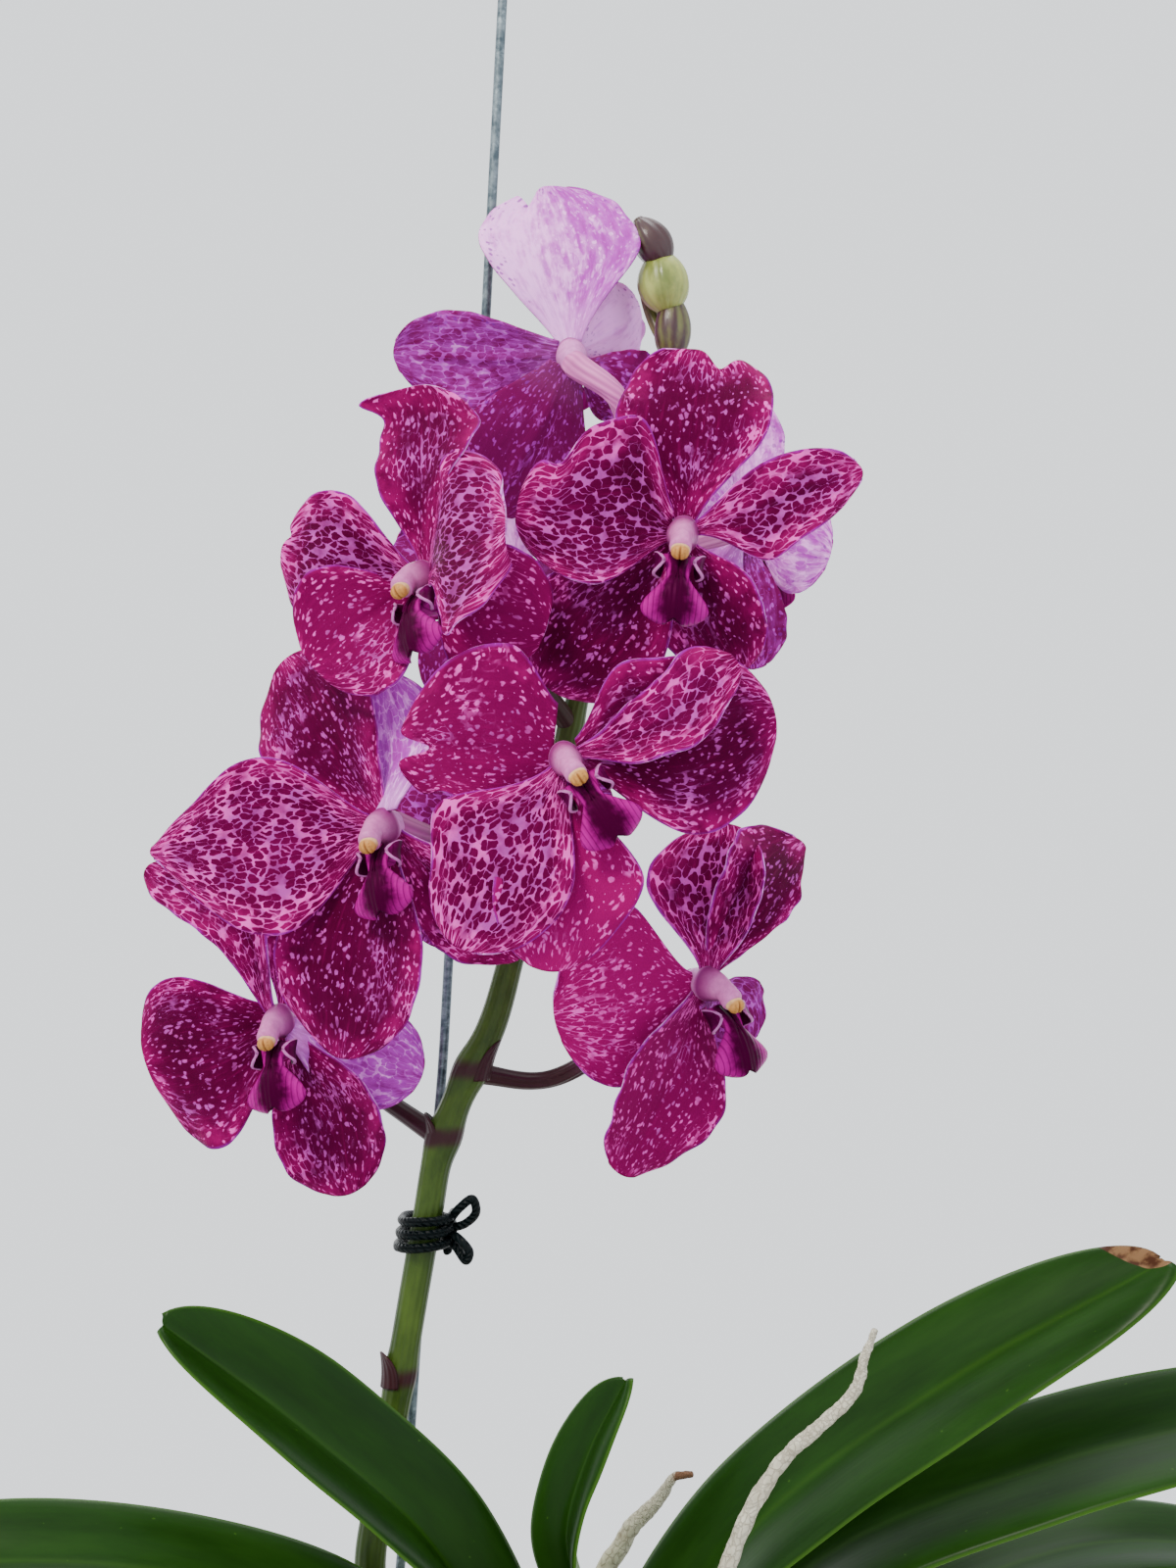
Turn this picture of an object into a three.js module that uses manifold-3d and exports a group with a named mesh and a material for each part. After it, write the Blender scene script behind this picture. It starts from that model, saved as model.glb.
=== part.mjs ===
// A vanda orchid in flower, in a plain clay pot filled with bark. Millimetres, +Z up.
// The origin is the centre of the pot's underside. The blooms' side is -Y, and +X is to the right from there.
import * as THREE from 'three'
import { mergeVertices } from 'three/addons/utils/BufferGeometryUtils.js'
import Module from 'manifold-3d'

const wasm = await Module()
wasm.setup()

// Clearance between pieces that touch
const GAP = 0.4

// Pot and bark
const POT = { height: 150, topRadius: 80, footRadius: 58, wall: 5, floor: 8, rimHeight: 22, rimProud: 4 }
const POT_SIDES = 28
const DRAIN_RADIUS = 5
const DRAIN_RING = 34
const DRAIN_COUNT = 3
const BARK_TOP = 134
const CHIP = { length: 24, width: 15, thickness: 8 }
const CHIP_RINGS = [[18, 5], [35, 8], [53, 12]]

// The plant's cane, as points and radii from the bark up
const CANE_PATH = [[-3, 3, 124], [-4, 2, 150], [-6, 0, 182], [-6, 0, 212]]
const CANE_RADII = [6.5, 6.6, 6.2, 4.4]

// The flower spike, as points and radii from the leaf axil up to the buds
const SPIKE_PATH = [
  [-7, 12.5, 172], [-18, 14, 188], [-37, 6, 209], [-48.5, 1, 230], [-46, 0, 255], [-42.5, 0, 276],
  [-39.5, 0, 294], [-36, 0, 314], [-33.5, 0, 328], [-28.5, 1, 342], [-21.5, 1, 357], [-17.5, 1, 371],
  [-14, 2, 385], [-9, 4, 404], [-2, 6, 432], [5, 7, 462], [12, 6, 485], [18, 4, 501], [19.3, 3, 505.5],
]
const SPIKE_RADII = [4.2, 4, 3.8, 3.7, 3.6, 3.5, 3.5, 3.5, 3.5, 3.5, 3.4, 3.1, 3, 2.9, 2.7, 2.5, 2.3, 2, 1.9]
// Bracts: height on the spike, direction in degrees from +X towards +Y, length
const BRACTS = [[279, 200, 8], [333, 180, 7], [348, -10, 9]]

const BUDS = [
  { at: [19.4, 2.5, 513.6], lean: [0.02, 0, 1], radius: 3.7, length: 13 },
  { at: [17, 2, 524], lean: [-0.15, 0, 1], radius: 5.6, length: 12.5 },
  { at: [14.6, 0.5, 533], lean: [-0.5, 0, 0.8], radius: 4, length: 10.5 },
]
const BUD_STALK = [[19.2, 3, 509.5], [16, 6, 514], [13, 7.5, 524], [14.6, 2, 531]]

// The galvanised wire that the spike is tied to
const WIRE_PATH = [[-55, 13, 60], [-52, 12, 140], [-42.6, 9.5, 235], [-37.5, 9, 305], [-33.7, 9, 340],
  [-31.5, 9, 376], [-27, 9, 450], [-23.3, 9, 518], [-19.5, 9, 590], [-18.8, 9, 603]]
const WIRE_RADIUS = 1.1

const TIE = {
  height: 310, turns: 3, pitch: 2.9, thickness: 2.1, reach: [5.7, 8.7], setBack: 3.3, squareness: 0.75,
}
const KNOT_LOOPS = [
  [
    [-31.8, 1.5, 312], [-28.5, -3, 316.5], [-25.8, -4, 318.5], [-25, -3, 315.5], [-27.5, -1, 312.5],
    [-31.5, 1.2, 311],
  ],
  [
    [-31.8, 1.5, 310], [-29, -2.5, 309.5], [-26.5, -3, 306.5], [-27.2, -2.5, 304.5], [-29.5, -0.5, 307],
    [-31.5, 1.2, 309],
  ],
]

// Blades: a row count along, a column count across, and the thickness of the solid
const PETAL_GRID = { rows: 5, columns: 4, thickness: 0.8 }
const REAR_PETAL_GRID = { rows: 4, columns: 4, thickness: 0.8 }
const LIP_GRID = { rows: 5, columns: 4, thickness: 0.8 }
const LEAF_GRID = { rows: 8, columns: 4, thickness: 1.5 }

const HUB_RADIUS = 4.6
const HUB_SET_BACK = 1.8
const CLAW_START = 2.8
// The petals stand this far in front of the heart's plane and the sepals this far behind it
const WHORL_LIFT = 0.8
// The waves of a petal's two edges are out of step by this angle
const EDGE_SHIFT = 2
const LIP = {
  foot: 4.6, slope: 53, length: 15, halfWidth: 4.6, waist: 2, flare: 2.9, lobeEnd: 0.45, lobeHeight: 6,
  droop: 1.6, arch: 2.2,
}
const COLUMN = { start: 3.4, length: 6, radius: 2.5, droop: 2.2, capRadius: 2 }

// Each sepal and petal runs from the bloom's heart to its tip, given from the heart. It is set by its width,
// where along it it is widest, how pointed it ends (0.5 is elliptic), the turn of its foot, its turn and its
// twist in degrees about its own length, bow and cup towards the face, a fold along its middle, the waves of
// its edge, a notch in its tip, a hook of the tip towards the face, skew and sway. A lobe swells one edge: it
// gives the side, the share of the length, how far it reaches, how far it spreads and how square it is.
const TEPAL = {
  widest: 0.62, claw: 0.16, point: 0.5, footTurn: 0, turn: 0, twist: 0, bow: 3, cup: 2, fold: 0, wave: 1.2,
  waves: 1.6, phase: 0, notch: 0, notchAt: 0, hook: 0, skew: 0, sway: 0, lobes: [],
}
const BLOOMS = {
  centre: {
    heart: [-4.6, -45, 416], face: [0.1, -1, -0.1], down: [0.55, 0, -0.83], stalk: [400, [-7, -18, 409]],
    sepals: [
      {
        tip: [-33.5, 2, 3.5], width: 33, widest: 0.36, claw: 0.5, point: 0.6, skew: 0.38, notch: 0.22,
        notchAt: -0.05, wave: 2, phase: 0.4, lobes: [[-1, 0.95, 6, 0.2, 4]],
      },
      { tip: [42, 3, 9], width: 37, widest: 0.56, bow: 4, cup: 3, sway: 2, lobes: [[-1, 0.25, 6, 0.18]] },
      { tip: [-3, -2, -42], width: 27, bow: 4, cup: 3, lobes: [[-1, 0.5, 4, 0.22]] },
    ],
    petals: [
      {
        tip: [34, -6, 19], width: 16, turn: -28, twist: 20, sway: 4.5, wave: 2, waves: 2.2, phase: 2,
        lobes: [[-1, 0.85, 2.5, 0.12]],
      },
      { tip: [-21, -5, -37], width: 28, bow: 5, cup: 1, wave: 1.6, phase: 1, lobes: [[1, 0.46, 6, 0.2]] },
    ],
  },
  right_upper: {
    heart: [20, -30, 464], face: [-0.05, -1, -0.15], down: [-0.1, 0, -1], stalk: [452, [14, -10, 459]],
    sepals: [
      {
        tip: [5.5, 4, 38.5], width: 30, widest: 0.78, point: 0.3, notch: 0.1, notchAt: 0.3, bow: 4, wave: 2,
        phase: 1.2, lobes: [[-1, 0.45, 5, 0.24], [1, 0.5, 1.5, 0.2]],
      },
      { tip: [12, 4, -28], width: 24, widest: 0.5, turn: 15 },
      { tip: [-28, 6, -31], width: 31, fold: 2 },
    ],
    petals: [
      {
        tip: [37, 3, 13.5], width: 17.5, widest: 0.55, point: 0.55, skew: -0.14, wave: 1.8, phase: 2.6,
        sway: 1, lobes: [[1, 0.32, 5, 0.16]],
      },
      {
        tip: [-34, -4, 4], width: 33, widest: 0.52, skew: 0.26, bow: 5, wave: 1.8, phase: 0.5,
        lobes: [[1, 0.8, -4.5, 0.1], [1, 0.24, 6, 0.2]],
      },
    ],
  },
  left_upper: {
    heart: [-35, -25, 455], face: [-0.55, -0.85, -0.05], down: [0.45, 0, -0.9],
    stalk: [424, [-16, -8, 440]],
    sepals: [
      {
        tip: [-0.6, 3, 40], width: 21, widest: 0.72, point: 0.4, wave: 1.6, phase: 2, hook: 3,
        lobes: [[-1, 0.98, 8, 0.06], [1, 0.72, 6, 0.22]],
      },
      { tip: [25, -9, -11], width: 30, fold: 3 },
      { tip: [-23, -4, -18], width: 31, turn: -12, cup: 3 },
    ],
    petals: [
      {
        tip: [18, -20, 9], width: 42, footTurn: -25, turn: -25, claw: 0.2, bow: 4, wave: 2.6, phase: 0.8,
        lobes: [[1, 0.28, -6, 0.16], [1, 0.68, 3, 0.15]],
      },
      { tip: [-30, 6, 7], width: 30, bow: 4, wave: 1.8, notch: 0.05, notchAt: 0.5 },
    ],
  },
  left_middle: {
    heart: [-43.5, -25, 402], face: [-0.35, -0.93, -0.1], down: [0.3, 0, -0.95], stalk: [383, [-26, -8, 395]],
    sepals: [
      { tip: [-23, 14, 35], width: 31, bow: 2 },
      { tip: [28, 8, -28], width: 22, bow: 2 },
      { tip: [-9.5, 0, -48], width: 35, widest: 0.56, point: 0.6, bow: 4, cup: 3 },
    ],
    petals: [
      {
        tip: [-1, 6, 32], width: 26, claw: 0.4, footTurn: 150, turn: 160, twist: 10, bow: 2, wave: 1.8,
        sway: -3,
      },
      {
        tip: [-49, 4, -5.5], width: 38, widest: 0.45, point: 0.95, skew: -0.05, bow: 5, wave: 1.4, phase: 0.9,
        lobes: [[1, 0.78, -2.5, 0.15]],
      },
    ],
  },
  left_lower: {
    heart: [-69.5, 4, 357.5], face: [-0.25, -0.95, -0.1], down: [0.2, 0, -1], stalk: [331, [-58, 18, 346]],
    sepals: [
      { tip: [11, 6, 34], width: 24, bow: 2 },
      { tip: [15, 0, -38], width: 27, sway: -3.5, cup: 3 },
      { tip: [-30, 2, -9.5], width: 40, claw: 0.3, skew: -0.15, bow: 4, wave: 1.4 },
    ],
    petals: [
      { tip: [31, -2, -12], width: 24, footTurn: 140, turn: 155, twist: 15, claw: 0.3, bow: 2, wave: 1.4 },
      { tip: [-30, 8, 33.5], width: 17, sway: 10 },
    ],
  },
  right_lower: {
    heart: [26, -10, 367], face: [0.55, -0.83, -0.1], down: [0.2, 0, -1], stalk: [346, [-8, 8, 344]],
    sepals: [
      { tip: [22, 10, 29.5], width: 27, point: 0.62, turn: 10, skew: -0.42, sway: -3.5, phase: 1 },
      { tip: [-17.5, -6, -40], width: 28, widest: 0.52, cup: 3 },
      { tip: [-32, -9, -6], width: 37, wave: 1.8, waves: 2.1, lobes: [[1, 0.42, 6, 0.22]] },
    ],
    petals: [
      { tip: [8, 12, -15], width: 25, claw: 0.35, footTurn: 180, turn: 190, wave: 1.6 },
      { tip: [4, 3, 34], width: 26, footTurn: -30, turn: -50, skew: -0.1, bow: 2, cup: 7 },
    ],
  },
  top: {
    heart: [-3.7, 0, 507], face: [-0.15, 0.85, 0.5], down: [0, 0.3, -0.9],
    stalk: [481, [6.5, -7.5, 496.5], 1.2],
    sepals: [
      {
        tip: [-6.5, 9, 38.5], width: 34, bow: -3, cup: -2, fold: -5, notch: 0.12, notchAt: 0.52,
        lobes: [[-1, 0.42, 3, 0.18]],
      },
      { tip: [-18, 6, -33], width: 30, claw: 0.3, bow: -2 },
      { tip: [17, 9, -8], width: 19, bow: -2 },
    ],
    petals: [
      { tip: [-39, 4, 1], width: 23, claw: 0.3, bow: -2, cup: -2, wave: 1.6 },
      { tip: [15.5, 12, 13], width: 20, bow: -2 },
    ],
  },
  right_rear: {
    heart: [37, 22, 470], face: [0.4, 0.9, 0.05], down: [0.1, 0.1, -1], stalk: [462, [24, 12, 466]],
    sepals: [
      { tip: [0.5, 4, 30.5], width: 19, bow: -2 },
      { tip: [2, 2, -31], width: 18, bow: -2 },
      { tip: [-16, 2, -24], width: 20, bow: -2 },
    ],
    petals: [
      { tip: [18.5, -3, -6], width: 22, bow: -2 },
      { tip: [-20, 4, 14], width: 24, bow: -2 },
    ],
  },
  rear_upper: {
    heart: [-17, 31, 458], face: [-0.1, 1, 0.1], down: [0.1, 0.1, -1], stalk: [446, [-10, 17, 453]],
    sepals: [
      { tip: [-3, 4, 31], width: 25, bow: -3, notch: 0.05 },
      { tip: [-17, 5, -27], width: 25, bow: -2 },
      { tip: [23, 5, -20], width: 25, bow: -2 },
    ],
    petals: [
      { tip: [-29, 3, 8], width: 27, bow: -3, wave: 1.6 },
      { tip: [29, 2, 8], width: 26, bow: -3, wave: 1.6 },
    ],
  },
  rear_lower: {
    heart: [-22, 32, 400], face: [0.1, 1, 0], down: [-0.1, 0.1, -1], stalk: [386, [-18, 17, 394]],
    sepals: [
      { tip: [2, 4, 28], width: 24, bow: -3 },
      { tip: [-16, 5, -26], width: 25, bow: -2 },
      { tip: [16, 5, -25], width: 25, bow: -2 },
    ],
    petals: [
      { tip: [-26, 4, 10], width: 26, bow: -3, wave: 1.6 },
      { tip: [27, 3, 8], width: 26, bow: -3, wave: 1.6 },
    ],
  },
}

// Each leaf's centreline starts at its keel beside the cane. The upper face looks along faceBase at the foot
// and along faceTip at the end. Fold is the slope of each half to the midrib, in degrees, at both ends. The
// edges run in to the tip from taper on, and end in a notch.
const LEAF = { footWidth: 25, fold: [55, 14], widest: 0.5, taper: 0.68, notch: 0.03, notchReach: 120 }
const LEAVES = {
  leaf_left_1: {
    path: [[-17.6, 0, 200], [-20.5, -4, 215], [-36, -17, 247], [-61, -27, 273], [-89.5, -36, 297.5]],
    width: 33, faceBase: [1, 0, 0.2], faceTip: [0.6, -0.64, 0.49], fold: [55, 35],
  },
  leaf_left_2: {
    path: [[-18.6, 0, 177], [-27, -4, 196], [-60, -24, 233], [-125, -38, 248], [-205, -42, 229]],
    width: 30, faceBase: [1, 0, 0.2], faceTip: [0.05, -0.6, 0.8],
  },
  leaf_left_3: {
    path: [[-18.4, 1, 161], [-26, -3, 176], [-58, -12, 196], [-110, -22, 202], [-160, -26, 174]],
    width: 27, faceBase: [1, 0, 0.2], faceTip: [-0.2, 0.1, 1],
  },
  leaf_left_4: {
    path: [[-17, 2, 141], [-26, 4, 155], [-52, 38, 178], [-86, 66, 182], [-114, 90, 156]],
    width: 28, faceBase: [1, 0, 0.2], faceTip: [-0.2, 0.2, 1],
  },
  leaf_centre: {
    path: [[1.4, 0, 215.5], [-1, -2, 229], [-4, -6, 245], [0.5, -7, 262], [8.5, -8, 279]],
    width: 20, footWidth: 15, faceBase: [-0.85, -0.5, 0.1], faceTip: [-0.75, -0.65, 0.1], fold: [50, 34],
  },
  leaf_right_1: {
    path: [[6.8, 0, 190], [11, -4, 206], [37, -19, 250], [76, -32, 284], [119.5, -46, 313]],
    width: 35, faceBase: [-1, 0, 0.2], faceTip: [-0.35, -0.65, 0.75],
  },
  leaf_right_2: {
    path: [[7.7, 0, 171], [15, -3, 194], [50, -14, 240], [100, -22, 264], [176, -30, 284]],
    width: 35, faceBase: [-1, 0, 0.2], faceTip: [-0.25, -0.55, 0.8],
  },
  leaf_right_3: {
    path: [[8.4, 1, 153], [18, 2, 172], [58, 8, 212], [112, 16, 234], [170, 24, 230]],
    width: 32, faceBase: [-1, 0, 0.2], faceTip: [0, -0.3, 1],
  },
  leaf_right_4: {
    path: [[8.6, 2, 141], [19, -2, 153], [54, -22, 174], [96, -46, 176], [130, -66, 148]],
    width: 29, faceBase: [-1, 0, 0.2], faceTip: [0.2, -0.2, 1],
  },
}

// Roots: two in the air and four down into the bark
const BARK_ROOT_RADII = [2.8, 2.8, 2.6, 2.2]
const ROOTS = {
  root_air_1: {
    path: [
      [2, -14, 160], [14, -32, 200], [25.5, -46, 240], [31, -52, 259], [39, -55, 274], [46.5, -56.5, 281.5],
      [53.5, -58, 289], [55.5, -58.5, 296], [57.5, -59, 301.5],
    ],
    radii: [3, 2.6, 2.1, 1.8, 1.6, 1.5, 1.3, 1.1, 0.8],
  },
  root_air_2: {
    path: [
      [-1, 14, 168], [0, 20.8, 200], [3, 22.7, 224], [10.5, 22.4, 237.5], [17, 20.8, 245], [20, 19, 250],
      [24, 18, 251],
    ],
    radii: [3, 2.9, 2.6, 2.1, 1.5, 1, 0.8],
  },
  root_bark_1: {
    path: [[-13, -11, 150], [-22, -18, 144], [-34, -24, 134], [-40, -28, 108]],
    radii: BARK_ROOT_RADII,
  },
  root_bark_2: {
    path: [[0, -12, 143], [9, -22, 145], [18, -34, 137], [22, -40, 112]],
    radii: BARK_ROOT_RADII,
  },
  root_bark_3: {
    path: [[4, 14, 148], [18, 20, 148], [32, 26, 137], [37, 30, 110]],
    radii: BARK_ROOT_RADII,
  },
  root_bark_4: {
    path: [[-9, 15, 146], [-18, 28, 147], [-26, 38, 137], [-30, 43, 112]],
    radii: BARK_ROOT_RADII,
  },
}

const finish = (color, roughness, metalness = 0) => {
  return new THREE.MeshStandardMaterial({ color, roughness, metalness })
}
const CLAY = finish(0xb0663f, 0.9)
const BARK = finish(0x5b3d28, 0.95)
const LEAF_GREEN = finish(0x2f5a1c, 0.4)
const STEM_GREEN = finish(0x6b8a35, 0.5)
const BUD_OLIVE = finish(0x9a9a4a, 0.5)
const ROOT_GREY = finish(0xb9b7a2, 0.85)
const PETAL_MAGENTA = finish(0xa5127d, 0.45)
const PETAL_LILAC = finish(0xd58ad6, 0.5)
const LIP_FUCHSIA = finish(0x9c0b72, 0.3)
const COLUMN_WHITE = finish(0xf2dcec, 0.4)
const TIE_BLACK = finish(0x14201c, 0.5)
const GALVANISED = finish(0x8c969c, 0.4, 0.8)

const part = new THREE.Group()

const vector = ([x, y, z]) => new THREE.Vector3(x, y, z)
const degrees = THREE.MathUtils.degToRad
const mix = THREE.MathUtils.lerp

function add(name, geometry, material) {
  const mesh = new THREE.Mesh(geometry, material)
  mesh.name = name
  part.add(mesh)
}

// Deterministic random numbers between 0 and 1
function seeded(seed) {
  let state = seed
  return () => {
    state = (state * 1664525 + 1013904223) % 4294967296
    return state / 4294967296
  }
}

// A closed geometry as a solid, with its doubled vertices merged
function solid(geometry) {
  const bare = new THREE.BufferGeometry()
  bare.setAttribute('position', geometry.getAttribute('position'))
  if (geometry.index) bare.setIndex(geometry.index)
  const merged = mergeVertices(bare, 1e-4)
  const vertProperties = new Float32Array(merged.getAttribute('position').array)
  const triVerts = new Uint32Array(merged.index.array)
  return new wasm.Manifold(new wasm.Mesh({ numProp: 3, vertProperties, triVerts }))
}

function geometryOf(manifold) {
  const mesh = manifold.getMesh()
  const geometry = new THREE.BufferGeometry()
  geometry.setAttribute('position', new THREE.BufferAttribute(mesh.vertProperties, 3))
  geometry.setIndex(new THREE.BufferAttribute(mesh.triVerts, 1))
  return geometry
}

// The largest body of a solid, so that scraps are dropped and pockets that a join has sealed are filled
const largest = (whole) => whole.decompose().sort((a, b) => b.volume() - a.volume())[0]

function fused(geometries) {
  return geometryOf(largest(geometries.map(solid).reduce((whole, next) => whole.add(next))))
}

function carved(geometry, cuts) {
  return geometryOf(largest(cuts.map(solid).reduce((rest, cut) => rest.subtract(cut), solid(geometry))))
}

// A blade of even thickness on surface(u, v), u from 0 to 1 along it and v from -1 to 1 across it. The rows
// crowd towards the tip, and both faces are split into triangles alike.
function blade(surface, { rows, columns, thickness }) {
  const step = 1e-3
  const corners = []
  for (const offset of [thickness / 2, -thickness / 2]) {
    for (let i = 0; i <= rows; i++) {
      const t = i / rows
      const u = (t + Math.sin(t * Math.PI / 2)) / 2
      for (let j = 0; j <= columns; j++) {
        const v = 2 * j / columns - 1
        const along = surface(Math.min(u + step, 1), v).sub(surface(Math.max(u - step, 0), v))
        const across = surface(u, Math.min(v + step, 1)).sub(surface(u, Math.max(v - step, -1)))
        const normal = along.cross(across).normalize()
        corners.push(surface(u, v).addScaledVector(normal, offset))
      }
    }
  }
  const across = columns + 1
  const face = (rows + 1) * across
  const triangles = []
  const quad = (a, b, c, d) => triangles.push(a, b, c, a, c, d)
  for (let i = 0; i < rows; i++) {
    for (let j = 0; j < columns; j++) {
      const [a, b] = [i * across + j, (i + 1) * across + j]
      const [c, d] = [b + 1, a + 1]
      triangles.push(a, b, c, a, c, d)
      triangles.push(face + a, face + c, face + b, face + a, face + d, face + c)
    }
  }
  for (let i = 0; i < rows; i++) {
    const [a, b] = [i * across, (i + 1) * across]
    quad(a, face + a, face + b, b)
    quad(b + columns, face + b + columns, face + a + columns, a + columns)
  }
  for (let j = 0; j < columns; j++) {
    const last = rows * across + j
    quad(j + 1, face + j + 1, face + j, j)
    quad(last, face + last, face + last + 1, last + 1)
  }
  const geometry = new THREE.BufferGeometry().setFromPoints(corners)
  geometry.setIndex(triangles)
  return geometry
}

// A round limb along a smooth curve through the points, with its radius following the radii and domed ends
function limb(points, radii, sides, steps) {
  const curve = new THREE.CatmullRomCurve3(points.map(vector), false, 'centripetal')
  const frames = curve.computeFrenetFrames(steps)
  const radiusAt = (t) => {
    const place = t * (radii.length - 1)
    const low = Math.min(Math.floor(place), radii.length - 2)
    return mix(radii[low], radii[low + 1], place - low)
  }
  const corners = []
  const triangles = []
  for (let i = 0; i <= steps; i++) {
    const centre = curve.getPoint(i / steps)
    for (let k = 0; k < sides; k++) {
      const angle = 2 * Math.PI * k / sides
      corners.push(centre.clone()
        .addScaledVector(frames.normals[i], radiusAt(i / steps) * Math.cos(angle))
        .addScaledVector(frames.binormals[i], radiusAt(i / steps) * Math.sin(angle)))
    }
  }
  for (let i = 0; i < steps; i++) {
    for (let k = 0; k < sides; k++) {
      const [a, b] = [i * sides + k, i * sides + (k + 1) % sides]
      triangles.push(a, b, b + sides, a, b + sides, a + sides)
    }
  }
  const bottom = corners.push(curve.getPoint(0).addScaledVector(frames.tangents[0], -radiusAt(0) / 2)) - 1
  const top = corners.push(curve.getPoint(1).addScaledVector(frames.tangents[steps], radiusAt(1) / 2)) - 1
  const last = steps * sides
  for (let k = 0; k < sides; k++) {
    const next = (k + 1) % sides
    triangles.push(bottom, next, k, top, last + k, last + next)
  }
  const geometry = new THREE.BufferGeometry().setFromPoints(corners)
  geometry.setIndex(triangles)
  return geometry
}

function ball(centre, radius, along = [0, 0, 1], stretch = 1) {
  const geometry = new THREE.SphereGeometry(radius, 7, 4)
  geometry.scale(1, stretch, 1)
  const axis = new THREE.Vector3(0, 1, 0)
  const turn = new THREE.Quaternion().setFromUnitVectors(axis, vector(along).normalize())
  return geometry.applyQuaternion(turn).translate(...centre)
}

// A unit vector square to axis, as near to hint as it can be
function squareTo(axis, hint) {
  return hint.clone().addScaledVector(axis, -hint.dot(axis)).normalize()
}

// Half the width of a petal or sepal on the side of v: a narrow claw, a swelling to the widest place, a round
// end, and the lobes of that side
function halfWidth(u, v, { width, widest, claw, point, lobes }) {
  const rising = claw + (1 - claw) * Math.sin(Math.PI / 2 * Math.min(u / widest, 1)) ** 1.3
  const ending = (1 - (Math.max(0, u - widest) / (1.04 - widest)) ** 2) ** point
  let half = width / 2 * (u < widest ? rising : ending)
  for (const [side, at, reach, spread, blunt = 2] of lobes) {
    if (side * v > 0) half += reach * Math.exp(-(Math.abs((u - at) / spread) ** blunt))
  }
  return Math.max(0.3, half)
}

function tepalSurface(bloom, tepal, lift) {
  const shape = { ...TEPAL, ...tepal }
  const tip = vector(shape.tip)
  const along = tip.clone().normalize()
  const out = squareTo(along, vector(bloom.face))
  const side = along.clone().cross(out)
  return (u, v) => {
    const turned = mix(shape.footTurn, shape.turn, THREE.MathUtils.smoothstep(u, 0, 0.5))
    const angle = degrees(turned + shape.twist * (u - 0.5) * u)
    const normal = out.clone().multiplyScalar(Math.cos(angle)).addScaledVector(side, Math.sin(angle))
    const across = side.clone().multiplyScalar(Math.cos(angle)).addScaledVector(out, -Math.sin(angle))
    const swell = Math.sin(Math.PI * Math.min(u, 1)) ** 1.3
    const cleft = shape.notch * Math.exp(-(((v - shape.notchAt) / 0.26) ** 2)) * u ** 6
    const reach = u + 0.04 * (1 - v * v) * u ** 4 - cleft
    const edge = v > 0 ? 0 : EDGE_SHIFT
    const ripple = Math.sin(2 * Math.PI * shape.waves * u + shape.phase + edge) * Math.abs(v) ** 3 * u
    const curl = 16 * shape.hook * Math.max(0, u - 0.75) ** 2
    const half = halfWidth(u, v, shape)
    const sides = (shape.cup * v * v + shape.fold * (Math.sqrt(v * v + 0.01) - 0.1)) * swell
    return vector(bloom.heart)
      .addScaledVector(out, lift)
      .addScaledVector(along, CLAW_START + reach * (tip.length() - CLAW_START))
      .addScaledVector(across, half * (v + shape.skew * v * v) + shape.sway * swell)
      .addScaledVector(normal, shape.bow * swell + sides + shape.wave * ripple + curl)
  }
}

// The lip: a channel whose sides stand up beside the column as lobes, then a blade that arches out and down
function lipSurface(bloom) {
  const face = vector(bloom.face).normalize()
  const down = squareTo(face, vector(bloom.down))
  const lean = Math.cos(degrees(LIP.slope))
  const drop = Math.sin(degrees(LIP.slope))
  const along = face.clone().multiplyScalar(lean).addScaledVector(down, drop)
  const out = face.clone().multiplyScalar(drop).addScaledVector(down, -lean)
  const side = along.clone().cross(out)
  const foot = vector(bloom.heart).addScaledVector(face, LIP.foot).addScaledVector(down, LIP.foot)
  return (u, v) => {
    const lobe = Math.max(0, 1 - u / LIP.lobeEnd)
    const waist = LIP.waist * Math.sin(Math.PI * Math.min(u / 0.8, 1))
    const flare = LIP.flare * Math.sin(Math.PI * Math.max(0, u - 0.4) / 0.7)
    const half = (LIP.halfWidth - waist + flare) * (u > 0.9 ? 0.75 : 1)
    const sides = (LIP.lobeHeight * Math.sqrt(lobe) - LIP.droop * (1 - lobe)) * v * v
    return foot.clone()
      .addScaledVector(along, LIP.length * (u + 0.08 * (1 - v * v) * u ** 4))
      .addScaledVector(side, half * v)
      .addScaledVector(out, sides + LIP.arch * Math.sin(Math.PI * u))
  }
}

function columnOf(bloom) {
  const face = vector(bloom.face).normalize()
  const down = squareTo(face, vector(bloom.down))
  const heart = vector(bloom.heart)
  const at = (forward, low) => {
    return heart.clone().addScaledVector(face, forward).addScaledVector(down, low).toArray()
  }
  const end = COLUMN.start + COLUMN.length
  const path = [at(COLUMN.start + 1, 0), at(COLUMN.start + COLUMN.length / 2, 0.4), at(end, COLUMN.droop)]
  const shaft = limb(path, [COLUMN.radius, COLUMN.radius * 0.85, COLUMN.radius], 7, 2)
  return fused([shaft, ball(at(end + 0.8, COLUMN.droop + 0.6), COLUMN.capRadius)])
}

const hubOf = (bloom) => vector(bloom.heart).addScaledVector(vector(bloom.face).normalize(), -HUB_SET_BACK)

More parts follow.
